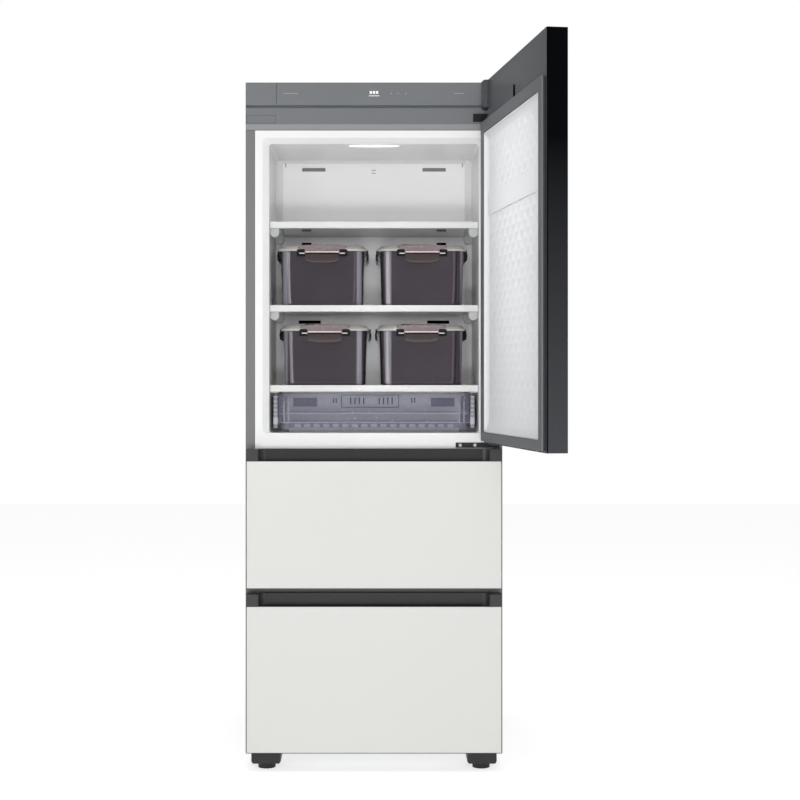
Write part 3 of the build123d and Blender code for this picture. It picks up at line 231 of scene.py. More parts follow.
def blend_colour(tree, mask, under, over):
    """Mix two colours by a mask. Either colour may be a socket or a plain value."""
    mix = tree.nodes.new("ShaderNodeMix")
    mix.data_type = "RGBA"
    tree.links.new(mask, mix.inputs["Factor"])
    fill_socket(tree, mix.inputs["A"], under)
    fill_socket(tree, mix.inputs["B"], over)
    return mix.outputs["Result"]


def paint_case(tree, place, own, shader):
    """The front border: a header painted paler, a painted highlight, with a painted shadow over it,
    and a joint up each side.
    """
    height = along(tree, place, (0.0, 0.0, 1.0), 0.0)
    # The header's paler grey is a painted highlight; above it the case grey comes back as a painted
    # shadow.
    strip = blend_colour(tree, between(tree, height, *HEADER_SPAN), own, screen(*HEADER_HIGHLIGHT_GREY))
    strip = blend_colour(tree, between(tree, height, *HEADER_SHADOW, PAINT_FADE), strip, own)
    foot = between(tree, height, HEADER_SPAN[0], BORDER_TOP)
    strip = blend_colour(tree, foot, strip, screen(*JOINT_GREY))
    out = magnitude(tree, along(tree, place, (1.0, 0.0, 0.0), 0.0))
    joint = maths(tree, "MULTIPLY", between(tree, out, *BORDER_JOINT),
                  between(tree, height, BORDER_FOOT, BORDER_TOP))
    strip = blend_colour(tree, joint, strip, screen(*JOINT_GREY))
    near = between(tree, along(tree, place, (0.0, 1.0, 0.0), 0.0), -1.0, FRONT_FACE)
    tree.links.new(blend_colour(tree, near, own, strip), shader.inputs["Base Color"])


case_enamel = finish_of(
    "grey_case_enamel", CASE_GREY, 0.36, grain_size=0.0022, grain_depth=0.00003,
    drift=0.02, Specular_IOR_Level=0.45, Coat_Weight=0.15, Coat_Roughness=0.2,
)
paint_over(case_enamel, paint_case)
soften(dress("outer_case", case_enamel), CASE_EDGE)


# ---------------------------------------------------------------- back panel and machine cover
# Zinc-coated sheet closes the back: flat between stamped ribs, and screwed down inside the hem.
# Below it a slotted cover of the same sheet lets the machine room breathe.
ZINC = (168, 170, 173)
RIB_PLACES = (-0.24, -0.12, 0.0, 0.12, 0.24)
RIB_SPAN = (0.36, 1.76)
RIB_HALF = 0.009
RIB_PROUD = 0.0018
RIB_PROFILE = (
    (0.0, -0.0002), (0.0018, 0.0004), (0.0035, RIB_PROUD * 0.9), (0.006, RIB_PROUD),
)
EDGE_SCREWS = (0.3, 0.58, 0.86, 1.14, 1.42, 1.7)
COVER_SCREWS = (0.06, 0.24)
ROW_SCREWS = (-0.16, 0.0, 0.16)
SCREW_ROWS = (1.83, 0.29)
SCREW_PLACE = 0.326
SCREW_RADIUS = 0.0046
SCREW_HEIGHT = 0.0016
SCREW_STEPS = 14
SCREW_PROFILE = ((1.0, 0.0), (1.0, 0.35), (0.86, 0.8), (0.5, 1.0), (0.34, 1.0), (0.26, 0.35))


def half_of(span):
    """Half the length of a span."""
    return (span[1] - span[0]) / 2


def middle_of(span):
    """The middle of a span."""
    return (span[0] + span[1]) / 2


def rounded_loop(half_x, half_y, radius, z, corner_steps=6, edge_steps=1, centre=(0.0, 0.0)):
    """Points round a rounded rectangle, anticlockwise from the end of its right edge."""
    points = []
    inner_x, inner_y = half_x - radius, half_y - radius
    corners = ((1, 1, 0.0), (-1, 1, 0.5), (-1, -1, 1.0), (1, -1, 1.5))
    for number, (side_x, side_y, turn) in enumerate(corners):
        arc = []
        for step in range(corner_steps + 1):
            angle = math.pi * (turn + 0.5 * step / corner_steps)
            arc.append(Vector((
                centre[0] + side_x * inner_x + radius * math.cos(angle),
                centre[1] + side_y * inner_y + radius * math.sin(angle), z,
            )))
        points += arc
        next_x, next_y, next_turn = corners[(number + 1) % 4]
        next_angle = math.pi * next_turn
        target = Vector((
            centre[0] + next_x * inner_x + radius * math.cos(next_angle),
            centre[1] + next_y * inner_y + radius * math.sin(next_angle), z,
        ))
        for step in range(1, edge_steps):
            points.append(arc[-1].lerp(target, step / edge_steps))
    return points


def skin(shape, loops, close_start=True, close_end=True):
    """Join equal loops of points into a skin, with its ends closed."""
    rings = [[shape.verts.new(point) for point in loop] for loop in loops]
    for lower, upper in zip(rings, rings[1:]):
        for index in range(len(lower)):
            after = (index + 1) % len(lower)
            shape.faces.new((lower[index], lower[after], upper[after], upper[index]))
    if close_start:
        shape.faces.new(list(reversed(rings[0])))
    if close_end:
        shape.faces.new(rings[-1])
    return rings


def facing(location, direction):
    """The placement that turns a shape's +Z towards a direction."""
    turn = Vector(direction).to_track_quat("Z", "Y").to_matrix().to_4x4()
    return Matrix.Translation(location) @ turn


def turned(shape, profile, at, steps=20):
    """A turned form: a profile of (radius, height) pairs about the Z of its placement."""
    loops = []
    for radius, height in profile:
        loops.append([
            at @ Vector((
                radius * math.cos(math.tau * step / steps),
                radius * math.sin(math.tau * step / steps), height,
            ))
            for step in range(steps)
        ])
    skin(shape, loops)


def add_screw(shape, location, direction):
    """A low domed screw head with a recess in it."""
    profile = [(SCREW_RADIUS * across, SCREW_HEIGHT * up) for across, up in SCREW_PROFILE]
    turned(shape, profile, facing(location, direction), SCREW_STEPS)


def new_piece(name, body, material, shape, at=None, smooth=True, corner=35):
    """Turn a bmesh into a piece that rides on a body and is finished like a material slot."""
    bmesh.ops.recalc_face_normals(shape, faces=shape.faces)
    if at is not None:
        shape.transform(at)
    mesh = bpy.data.meshes.new(name)
    shape.to_mesh(mesh)
    shape.free()
    mesh.materials.append(material)
    piece = bpy.data.objects.new(name, mesh)
    bpy.context.scene.collection.objects.link(piece)
    if smooth:
        mesh.set_sharp_from_angle(angle=math.radians(corner))
        mesh.polygons.foreach_set("use_smooth", [True] * len(mesh.polygons))
    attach(piece, body)
    return piece


zinc_sheet = finish_of(
    "zinc_coated_sheet", ZINC, 0.42, grain_size=0.02, grain_depth=0.00004, drift=0.08,
    drift_size=0.03, gloss_patches=0.12, Metallic=0.6,
)
soften(dress("back_panel", zinc_sheet), EDGE_THIN)
soften(dress("machine_cover", zinc_sheet), EDGE_THIN)
panel_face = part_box("back_panel")[1].y

rib_shape = bmesh.new()
rib_middle = middle_of(RIB_SPAN)
rib_half_length = half_of(RIB_SPAN)
for rib_x in RIB_PLACES:
    skin(rib_shape, [
        rounded_loop(
            RIB_HALF - inset, rib_half_length - inset, RIB_HALF - inset, lift,
            centre=(rib_x, rib_middle),
        )
        for inset, lift in RIB_PROFILE
    ])
rib_frame = Matrix.Translation((0, panel_face, 0)) @ Matrix.Rotation(-math.pi / 2, 4, "X")
rib_frame = rib_frame @ Matrix.Scale(-1, 4, (0, 1, 0))
new_piece("back_ribs", "cabinet", zinc_sheet, rib_shape, at=rib_frame)

zinc_bolt = finish_of(
    "plated_screw", (150, 152, 155), 0.3, grain_size=0.001, grain_depth=0.00001, Metallic=0.9,
)
back_screws = bmesh.new()
for side in (-1, 1):
    for level in EDGE_SCREWS + COVER_SCREWS:
        add_screw(back_screws, (side * SCREW_PLACE, panel_face, level), (0, 1, 0))
for screw_x in ROW_SCREWS:
    for level in SCREW_ROWS:
        add_screw(back_screws, (screw_x, panel_face, level), (0, 1, 0))
new_piece("back_screws", "cabinet", zinc_bolt, back_screws)


# ---------------------------------------------------------------- base, feet and rollers
# The pressed base tray carries black enamelled leg brackets. Fluted feet turn on their stems in
# front, and the cabinet rolls on two moulded wheels at the back.
black_enamel = finish_of(
    "black_enamel", (24, 24, 26), 0.38, grain_size=0.0015, grain_depth=0.00002,
    Specular_IOR_Level=0.5,
)
foot_plastic = finish_of(
    "foot_plastic", (30, 30, 32), 0.5, grain_size=0.0008, grain_depth=0.00004,
)
soften(dress("base_pan", zinc_sheet), EDGE_FINE)
soften(dress("leg_brackets", black_enamel), EDGE_BROAD)
soften(dress("levelling_foot_left", foot_plastic), EDGE_FINE)
soften(dress("levelling_foot_right", foot_plastic), EDGE_FINE)
soften(dress("rear_rollers", foot_plastic))


# ---------------------------------------------------------------- control band
# A satin grey moulding across the top holds the touch controls behind its face. A few plain
# printed marks show where they are: two short bars, three dots, and three lit bars over a line.
BAND_GREY = (120, 123, 126)
MARK_DIM = (164, 166, 168)
MARK_LIT = (240, 240, 236)
MARK_LEVEL = 1.8233
MARK_LIFT = 0.00012
MARK_SUNK = 0.0001
MARK_CORNER = 0.0003
SHORT_BARS = ((-0.2455, -0.206), (0.217, 0.2435))
SHORT_BAR_HALF = 0.0009
DOT_PLACES = (0.046, 0.065, 0.0866)
DOT_HALF = 0.0018
DOT_CORNER = 0.0017
LIT_BARS = (-0.0115, -0.003, 0.0055)
LIT_BAR_WIDE = 0.006
LIT_BAR_SPAN = (-0.001, 0.0065)
LIT_BAR_CORNER = 0.001
LIT_LINE = ((-0.014, 0.0145), (-0.0072, -0.0056))

band_moulding = finish_of(
    "band_moulding", BAND_GREY, 0.34, grain_size=0.0009, grain_depth=0.00001, drift=0.015,
    drift_size=0.5, Specular_IOR_Level=0.4,
)
soften(dress("control_panel", band_moulding))
board_lacquer = finish_of("board_lacquer", (40, 104, 62), 0.4, drift=0.1, drift_size=0.01)
dress("control_board", board_lacquer)
band_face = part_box("control_panel")[0].y


def around(middle, half):
    """The span that reaches equally far to both sides of a place."""
    return (middle - half, middle + half)


def upright_loop(half_x, half_z, corner, depth, *steps, centre=(0.0, 0.0)):
    """A rounded rectangle that stands upright at one depth."""
    loop = rounded_loop(half_x, half_z, corner, 0, *steps, centre=centre)
    return [Vector((point.x, depth, point.y)) for point in loop]


def upright_plate(shape, half_x, half_z, corner, layers, *steps, centre=(0.0, 0.0)):
    """An upright plate, skinned over layers of (inset, depth)."""
    skin(shape, [
        upright_loop(half_x - inset, half_z - inset, corner - inset, depth, *steps, centre=centre)
        for inset, depth in layers
    ])


def flat_mark(shape, x_span, z_span, corner=MARK_CORNER, face=band_face):
    """A printed mark: a thin plate that lies on a face, which is the band's by itself."""
    upright_plate(shape, half_of(x_span), half_of(z_span), corner,
                  ((0.0, face + MARK_SUNK), (0.0, face - MARK_LIFT)), 3,
                  centre=(middle_of(x_span), middle_of(z_span)))


dim_marks = bmesh.new()
for bar_span in SHORT_BARS:
    flat_mark(dim_marks, bar_span, around(MARK_LEVEL, SHORT_BAR_HALF))
for dot_x in DOT_PLACES:
    flat_mark(dim_marks, around(dot_x, DOT_HALF), around(MARK_LEVEL, DOT_HALF), DOT_CORNER)
mark_print = finish_of("printed_mark", MARK_DIM, 0.4)
new_piece("dim_marks", "cabinet", mark_print, dim_marks, smooth=False)

lit_marks = bmesh.new()
for bar_x in LIT_BARS:
    flat_mark(lit_marks, (bar_x, bar_x + LIT_BAR_WIDE),
              [MARK_LEVEL + rise for rise in LIT_BAR_SPAN], LIT_BAR_CORNER)
flat_mark(lit_marks, LIT_LINE[0], [MARK_LEVEL + rise for rise in LIT_LINE[1]])
mark_light = finish_of(
    "lit_mark", MARK_LIT, 0.4, Emission_Color=screen(*MARK_LIT), Emission_Strength=0.3,
)
new_piece("lit_marks", "cabinet", mark_light, lit_marks, smooth=False)


# ---------------------------------------------------------------- hinge fascia
# Under a dark groove a plain moulding covers the hinge side. A blank cap on its left closes the
# fixing holes of a left-hand hinge.
fascia_moulding = finish_of(
    "fascia_moulding", (119, 122, 125), 0.36, grain_size=0.0009, grain_depth=0.00001,
    drift=0.015, drift_size=0.5, Specular_IOR_Level=0.4,
)
soften(dress("hinge_fascia", fascia_moulding), EDGE_FINE)


# ---------------------------------------------------------------- liner, air duct and lamp
# The compartment is a vacuum-formed white shell. A white cover with vents and grilles hides the
# air duct at its back, and carries small grey sensors. A frosted lens in the ceiling glows.
LINER_WHITE = (247, 247, 247)
SENSOR_GREY = (150, 152, 154)
SENSOR_LEVELS = (1.6585, 1.6505)
SENSOR_SPAN = (-0.007, 0.005)
SENSOR_HALF = 0.0013
SENSOR_CORNER = 0.0012
SIDE_SENSOR = ((0.2555, 0.2585), (1.668, 1.679))
SIDE_SENSOR_CORNER = 0.0008
LENS_FADE = (0.028, 0.07)
LENS_GLOW = (1.6, 0.3)
LENS_DEPTH = (0.002, 0.007)
LENS_DIMMING = (1.0, 0.1)
VENT_SHADE_GREY = (128, 127, 128)
VENT_PLACE = (0.175, 1.6605)
VENT_HALF = (0.0335, 0.005)
VENT_CORNER = 0.0006
VENT_SETBACK = 0.003
DARK_VENTS = (
    (0.196, 0.5405, 0.014, 0.0035), (0.187, 0.313, 0.032, 0.0047), (0.11, 0.085, 0.002, 0.007),
    (0.118, 0.085, 0.002, 0.007),
)
GRILLE_PLACE = (0.2, 0.08)
GRILLE_HALF = (0.0355, 0.0105)
GRILLE_PITCH = 0.0067
GRILLE_SLOTS = 10
GRILLE_RIB = 0.0011

liner_plastic = finish_of(
    "white_liner", LINER_WHITE, 0.26, grain_size=0.003, grain_depth=0.00003, drift=0.008,
    Specular_IOR_Level=0.45,
)
for node in ("upper_liner", "drawer_liners", "duct_cover"):
    soften(dress(node, liner_plastic))
foam_fill = finish_of("pale_foam", (224, 208, 160), 0.9, grain_size=0.004, grain_depth=0.0004)
dress("insulation_foam", foam_fill)
lamp_lens = finish_of(
    "lamp_lens", (226, 226, 226), 0.4, Emission_Color=screen(252, 252, 255),
)


def paint_lens(tree, place, own, shader):
    """The lens glows along its front edge and fades towards its ends."""
    out = magnitude(tree, along(tree, place, (1.0, 0.0, 0.0), 0.0))
    back = along(tree, place, (0.0, 1.0, 0.0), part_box("ceiling_lamp")[0].y)
    glow = maths(tree, "MULTIPLY", ramp(tree, out, *LENS_FADE, *LENS_GLOW),
                 ramp(tree, back, *LENS_DEPTH, *LENS_DIMMING))
    tree.links.new(glow, shader.inputs["Emission Strength"])


paint_over(lamp_lens, paint_lens)
soften(dress("ceiling_lamp", lamp_lens), EDGE_THIN)
soft_sensor = finish_of("sensor_grey", SENSOR_GREY, 0.5)
duct_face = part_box("duct_cover")[0].y
sensor_shape = bmesh.new()
for sensor_z in SENSOR_LEVELS:
    flat_mark(sensor_shape, SENSOR_SPAN, around(sensor_z, SENSOR_HALF), SENSOR_CORNER, duct_face)
for side in (-1, 1):
    flat_mark(sensor_shape, sorted(side * reach for reach in SIDE_SENSOR[0]), SIDE_SENSOR[1],
              SIDE_SENSOR_CORNER, duct_face)
new_piece("duct_sensors", "cabinet", soft_sensor, sensor_shape, smooth=False)

# Grey plates set just behind the top vents are painted shade, standing in for the shade inside the
# vents.
vent_shade_grey = finish_of("vent_shade_grey", VENT_SHADE_GREY, 0.5)
vent_shade_shape = bmesh.new()
for side in (-1, 1):
    flat_mark(vent_shade_shape, around(side * VENT_PLACE[0], VENT_HALF[0]),
              around(VENT_PLACE[1], VENT_HALF[1]), VENT_CORNER, duct_face + VENT_SETBACK)
new_piece("duct_vent_shade_plates", "cabinet", vent_shade_grey, vent_shade_shape, smooth=False)

# Near-black plates set just behind the other vents and between the grille ribs are painted shade,
# standing in for the shade inside the duct.
duct_shade = finish_of("duct_painted_shade", (7, 7, 9), 0.8, Specular_IOR_Level=0.0)
grille_dark = finish_of("grille_moulding", (44, 43, 50), 0.5)
duct_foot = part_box("duct_cover")[0].z
shade_plate_shape, grille_shape = bmesh.new(), bmesh.new()
grille_z = duct_foot + GRILLE_PLACE[1]
for side in (-1, 1):
    for vent_x, rise, half_x, half_z in DARK_VENTS:
        flat_mark(shade_plate_shape, around(side * vent_x, half_x), around(duct_foot + rise, half_z),
                  face=duct_face + VENT_SETBACK)
    grille_x = side * GRILLE_PLACE[0]
    for rib in range(GRILLE_SLOTS + 1):
        rib_x = grille_x + (rib - GRILLE_SLOTS / 2) * GRILLE_PITCH
        flat_mark(grille_shape, around(rib_x, GRILLE_RIB), around(grille_z, GRILLE_HALF[1]),
                  face=duct_face)
        if rib < GRILLE_SLOTS:
            flat_mark(shade_plate_shape, (rib_x + GRILLE_RIB, rib_x + GRILLE_PITCH - GRILLE_RIB),
                      around(grille_z, GRILLE_HALF[1]), face=duct_face + VENT_SETBACK)
    for edge in (-1, 1):
        bar_z = grille_z + edge * (GRILLE_HALF[1] + GRILLE_RIB)
        flat_mark(grille_shape, around(grille_x, GRILLE_HALF[0]), around(bar_z, GRILLE_RIB),
                  face=duct_face)
new_piece("duct_shade_plates", "cabinet", duct_shade, shade_plate_shape, smooth=False)
new_piece("duct_grilles", "cabinet", grille_dark, grille_shape, smooth=False)


# ---------------------------------------------------------------- shelves
# Each shelf is a pale gloss-coated board behind a white front rail. Its ends lie in clear moulded
# brackets on the side walls, whose rounded rests hang below it.
SHELF_TOPS = (1.0336, 1.2523, 1.4804)
RAIL_HEIGHT = 0.0176
REST_DROPS = (0.004, 0.023, 0.023)
REST_DEPTH = 0.032
END_HALF = 0.0125
END_CORNER = 0.0115
END_GAP = 0.0003
END_ROUNDING = 0.7
END_EASE = ((0.0016, 0.0003), (0.0004, 0.0008), (0.0, 0.002))

board_gloss = finish_of(
    "shelf_board_gloss", (178, 179, 180), 0.06, grain_depth=0.0, drift=0.02, gloss_patches=0.0,
    Specular_IOR_Level=0.5,
)
rail_white = finish_of("white_rail", (227, 227, 226), 0.28, grain_depth=0.00001, drift=0.008)
clear_rest = finish_of(
    "clear_rest", (232, 234, 235), 0.12, grain_size=0.004, grain_depth=0.00006, drift=0.1,
    drift_size=0.006, Alpha=0.5,
)
soften(dress("shelf_boards", board_gloss), EDGE_THIN)
soften(dress("shelf_trims", rail_white), EDGE_BROAD, segments=3)

bracket_low, bracket_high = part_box("shelf_brackets")
bracket_shape = bmesh.new()
for shelf_top, drop in zip(SHELF_TOPS, REST_DROPS):
    for side in (-1, 1):
        end_x = side * (bracket_high.x - END_HALF - END_GAP)
        spans = [(bracket_low.y, bracket_high.y, shelf_top, shelf_top - RAIL_HEIGHT)]
        for near in (bracket_low.y, bracket_high.y - REST_DEPTH):
            spans.append((near, near + REST_DEPTH, shelf_top - RAIL_HEIGHT + END_CORNER,
                          shelf_top - RAIL_HEIGHT - drop))
        for near, far, high, low in spans:
            half_z = (high - low) / 2
            layers = [(inset, near + setback) for inset, setback in END_EASE]
            layers += [(inset, far - setback) for inset, setback in END_EASE[::-2]]
            upright_plate(bracket_shape, END_HALF, half_z, min(END_CORNER, half_z * END_ROUNDING),
                          layers, centre=(end_x, (high + low) / 2))
bracket_piece = new_piece("bracket_ends", "cabinet", clear_rest, bracket_shape,
                          corner=50)
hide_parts("shelf_brackets")


# ---------------------------------------------------------------- cooling circuit
# Behind the duct cover a finned coil and its fan, and in the machine room the compressor, the
# finned condenser with its fan, and the drip pan. Both fans turn.
FIN_EDGE = 0.0003

coil_alloy = finish_of(
    "coil_alloy", (196, 199, 203), 0.38, drift=0.05, drift_size=0.03, Metallic=0.85,
)
motor_enamel = finish_of("motor_enamel", (40, 41, 43), 0.42)
fan_moulding = finish_of("fan_moulding", (86, 88, 90), 0.5)
pan_moulding = finish_of("pan_moulding", (104, 106, 108), 0.55)
for node in ("evaporator", "condenser"):
    soften(dress(node, coil_alloy), FIN_EDGE, segments=1)
for node in ("fan_motors", "compressor"):
    soften(dress(node, motor_enamel), EDGE_BROAD)
for node in ("evaporator_fan", "condenser_fan"):
    soften(dress(node, fan_moulding), EDGE_THIN)
soften(dress("drain_pan", pan_moulding))


# ---------------------------------------------------------------- door
# The door's surround is a dark satin moulding. Its free edge carries a black trim, painted lighter
# towards its foot as painted shading, and a painted shadow darkens the fine joint that runs round
# behind it. The front is white sheet, folded round the foam, and a magnetic seal lies round the
# liner inside, its lip painted paler as if lit and the groove at its root a painted shadow.
DOOR_OPEN = math.radians(98)
DOOR_PIVOT = (0.325, -0.3775)
DOOR_GREY = (76, 78, 81)
SCREW_FACE = -0.3407
SCREW_REACH = 0.29
TRIM_BLACK = (5, 6, 9)
TRIM_LIT_FOOT = (68, 69, 72)
TRIM_SPAN = (0.88, 1.6)
TRIM_START = -0.6645
JOINT_SPAN = (0.0245, 0.0275)
JOINT_SHADOW_BLACK = (3, 3, 4)
SLOT_ACROSS = (-0.3532, -0.3332)
SLOT_HEIGHT = (1.7435, 1.7745)
SLOT_CORNER = 0.003
SLOT_LAYERS = ((0.0, -0.0004), (0.0, 0.0002))
INNER_FACE = 0.028
FRONT_WHITE = (225, 225, 222)
SHEET_FACE = -0.0214
FOLD_BLACK = (10, 11, 14)
SEAL_LIP = 0.0348
SEAL_LIT_PALE = (100, 102, 105)
SEAL_GROOVE = 0.0014
GROOVE_SHADOW_BLACK = (18, 19, 21)

dark_moulding = finish_of(
    "dark_moulding", (48, 49, 52), 0.36, grain_size=0.0009, grain_depth=0.00001, drift=0.02,
)
door_surround = finish_of(
    "door_surround", DOOR_GREY, 0.26, grain_size=0.0009, grain_depth=0.00001, drift=0.02,
    Specular_IOR_Level=0.2,
)
door_across = (math.cos(DOOR_OPEN), math.sin(DOOR_OPEN), 0.0)
door_inward = (-math.sin(DOOR_OPEN), math.cos(DOOR_OPEN), 0.0)


def inward_of(tree, place):
    """How far a point of the door lies in from its pivot, towards the closed cabinet."""
    return along(tree, place, door_inward, Vector((*DOOR_PIVOT, 0)).dot(door_inward))


def paint_trim(tree, place, own, shader):
    """The trim is black at its top and greyer at its foot, a painted shading, and a painted shadow
    darkens the joint behind it.
    """
    rise = ramp(tree, along(tree, place, (0.0, 0.0, 1.0), 0.0), *TRIM_SPAN)
    trim = blend_colour(tree, rise, screen(*TRIM_LIT_FOOT), screen(*TRIM_BLACK))
    joint = between(tree, inward_of(tree, place), *JOINT_SPAN, PAINT_FADE)
    tree.links.new(blend_colour(tree, joint, trim, screen(*JOINT_SHADOW_BLACK)),
                   shader.inputs["Base Color"])


def paint_seal(tree, place, own, shader):
    """Painted light and shade: the seal's lip is painted paler, as if lit, than its root, and a
    painted shadow darkens the groove between them.
    """
    inward = inward_of(tree, place)
    proud = between(tree, inward, SEAL_LIP, 1.0, PAINT_FADE)
    lip = blend_colour(tree, proud, own, screen(*SEAL_LIT_PALE))
    groove = between(tree, inward, SEAL_LIP - SEAL_GROOVE, SEAL_LIP)
    tree.links.new(blend_colour(tree, groove, lip, screen(*GROOVE_SHADOW_BLACK)),
                   shader.inputs["Base Color"])


def paint_sheet(tree, place, own, shader):
    """The sheet's folded edge is painted black."""
    folded = between(tree, inward_of(tree, place), SHEET_FACE, 1.0)
    tree.links.new(blend_colour(tree, folded, own, screen(*FOLD_BLACK)),
                   shader.inputs["Base Color"])


# The trim's own black lightens towards its foot as painted shading, and its joint is a painted
# shadow.
edge_trim = finish_of("black_edge_trim", TRIM_BLACK, 0.3, drift=0.02, Specular_IOR_Level=0.03)
paint_over(edge_trim, paint_trim)
surround = soften(dress("door_frame", door_surround))
surround.data.materials.append(edge_trim)
free_end = Vector(door_across) * TRIM_START + Vector((*DOOR_PIVOT, 0))
for face in surround.data.polygons:
    if (face.center - free_end).dot(door_across) < 0 and face.normal.dot(door_across) < -0.5:
        face.material_index = 1
front_enamel, door_enamel = (
    finish_of(name, FRONT_WHITE, 0.42, grain_size=0.0024, grain_depth=0.00003, drift=0.006)
    for name in ("white_front_enamel", "white_door_enamel")
)
paint_over(door_enamel, paint_sheet)
soften(dress("door_panel", door_enamel), EDGE_FINE)

slot_black = finish_of("striker_slot_black", (6, 6, 8), 0.9, Specular_IOR_Level=0.0)
striker_shape = bmesh.new()
upright_plate(striker_shape, half_of(SLOT_ACROSS), half_of(SLOT_HEIGHT), SLOT_CORNER,
              [(inset, INNER_FACE + depth) for inset, depth in SLOT_LAYERS],
              centre=(middle_of(SLOT_ACROSS), middle_of(SLOT_HEIGHT)))
door_place = Matrix.Translation((*DOOR_PIVOT, 0)) @ Matrix.Rotation(DOOR_OPEN, 4, "Z")
new_piece("striker_slot", "door", slot_black, striker_shape, at=door_place,
          smooth=False)

# The liner inside the door: a proud rim, a sloping margin and a sunk field. Shallow four-sided
# diamonds are pressed all over the field, apart from a plain band across it.
WINDOW_X = (-0.6295, -0.0285)
WINDOW_Z = (0.9085, 1.705)
LINER_RIM = 0.037
RIM_LAND = 0.0062
DISH_SLOPE = 0.0133
DISH_FLOOR = 0.0268
RIM_PROFILE = (
    (0.0, -0.012, 0.004), (0.0, -0.002, 0.004), (0.0006, -0.0008, 0.004), (0.0016, 0.0, 0.004),
    (0.0038, 0.0, 0.005), (0.0048, -0.0008, 0.006), (0.0054, -0.0022, 0.006),
    (RIM_LAND, -0.003, 0.007),
)
DISH_CORNER = 0.008
DISH_EASE = (0.001, 0.0002)
FIELD_MARGIN = 0.004
FIELD_LIFT = 0.0001
DIAMOND = (0.0615, 0.0445)
DIAMOND_RISE = 0.003
PLAIN_BAND = (1.4825, 1.5395)
BAND_REACH = 0.003
BAND_CORNER = 0.004
BAND_LAYERS = ((0.0, -0.0002), (0.0, DIAMOND_RISE), (0.0012, DIAMOND_RISE + 0.0005))

quilt_plastic = finish_of(
    "quilted_liner", (237, 238, 239), 0.44, grain_size=0.003, grain_depth=0.00002, drift=0.006,
    Specular_IOR_Level=0.3,
)
liner_shape = bmesh.new()
dish_inset = RIM_LAND + DISH_SLOPE
liner_layers = [(inset, LINER_RIM + rise, corner) for inset, rise, corner in RIM_PROFILE]
liner_layers += [
    (dish_inset - DISH_EASE[0], DISH_FLOOR + DISH_EASE[1], DISH_CORNER),
    (dish_inset, DISH_FLOOR, DISH_CORNER),
]
skin(liner_shape, [
    upright_loop(half_of(WINDOW_X) - inset, half_of(WINDOW_Z) - inset, corner, depth, 5,
                 centre=(middle_of(WINDOW_X), middle_of(WINDOW_Z)))
    for inset, depth, corner in liner_layers
])
new_rim = new_piece("door_inner_rim", "door", quilt_plastic, liner_shape,
                    at=door_place)
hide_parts("door_liner")

quilt_shape = bmesh.new()
field_inset = dish_inset + FIELD_MARGIN
field_x = (WINDOW_X[0] + field_inset, WINDOW_X[1] - field_inset)
field_z = (WINDOW_Z[0] + field_inset, WINDOW_Z[1] - field_inset)
columns = math.floor((field_x[1] - field_x[0]) / (DIAMOND[0] / 2))
rows = math.floor((field_z[1] - field_z[0]) / (DIAMOND[1] / 2))
step_x, step_z = (field_x[1] - field_x[0]) / columns, (field_z[1] - field_z[0]) / rows


def quilt_point(column, row, rise):
    """A point of the lattice of diamonds, lifted off the field."""
    return quilt_shape.verts.new((
        field_x[0] + column * step_x, DISH_FLOOR + FIELD_LIFT + rise, field_z[0] + row * step_z,
    ))


for column in range(1, columns):
    for row in range(1, rows):
        if (column + row) % 2 == 0:
            continue
        peak = quilt_point(column, row, DIAMOND_RISE)
        rim = [
            quilt_point(column + 1, row, 0), quilt_point(column, row + 1, 0),
            quilt_point(column - 1, row, 0), quilt_point(column, row - 1, 0),
        ]
        for first, second in zip(rim, rim[1:] + rim[:1]):
            quilt_shape.faces.new((first, second, peak))
        quilt_shape.faces.new(rim[::-1])
upright_plate(quilt_shape, half_of(field_x) + BAND_REACH, half_of(PLAIN_BAND), BAND_CORNER,
              [(inset, DISH_FLOOR + depth) for inset, depth in BAND_LAYERS],
              centre=(middle_of(field_x), middle_of(PLAIN_BAND)))
new_piece("door_inner_quilt", "door", quilt_plastic, quilt_shape, at=door_place,
          smooth=False)
dress("door_foam", foam_fill)
seal_rubber = finish_of("seal_rubber", (80, 82, 85), 0.6, grain_size=0.0008)
# The door seal's grey is its root; its lip is painted paler as painted light, and its groove darker
# as a painted shadow.
door_rubber = finish_of("door_seal_rubber", (60, 61, 64), 0.55, grain_size=0.0008)
paint_over(door_rubber, paint_seal)
soften(dress("door_gasket", door_rubber), EDGE_BROAD)
bush_polymer = finish_of("bush_polymer", (232, 232, 230), 0.4)
soften(dress("door_bushes", bush_polymer), EDGE_THIN)
bright_screw = finish_of("bright_screw", (196, 197, 200), 0.22, Metallic=1.0)
lower_hinge = soften(dress("lower_hinge", black_enamel), EDGE_FINE)
lower_hinge.data.materials.append(bright_screw)
for face in lower_hinge.data.polygons:
    if face.center.y < SCREW_FACE and face.center.x < SCREW_REACH:
        face.material_index = 1
soften(dress("upper_hinge", black_enamel), EDGE_FINE)


# ---------------------------------------------------------------- drawers
# Each drawer has a white sheet front in a dark moulded surround, with a black grip let into its
# top. Behind it a moulded bin rides on bright steel runners, and a seal closes the gap.
RAIL_EDGE = 0.0004

bright_rail = finish_of("bright_rail", (190, 192, 195), 0.3, Metallic=0.9)
grip_moulding = finish_of("grip_moulding", (27, 28, 30), 0.32, grain_size=0.0008)
bin_moulding = finish_of("bin_moulding", (212, 216, 222), 0.3)
soften(dress("fixed_rails", bright_rail), RAIL_EDGE)
for drawer in ("middle", "lower"):
    for part, material, edge in (
        ("front_frame", dark_moulding, EDGE_SOFT), ("front_panel", front_enamel, EDGE_FINE),
        ("grip", grip_moulding, EDGE_SOFT), ("gasket", seal_rubber, EDGE_SOFT),
        ("runners", bright_rail, EDGE_THIN), ("bin", bin_moulding, EDGE_SOFT),
    ):
        soften(dress(f"{drawer}_{part}", material), edge)
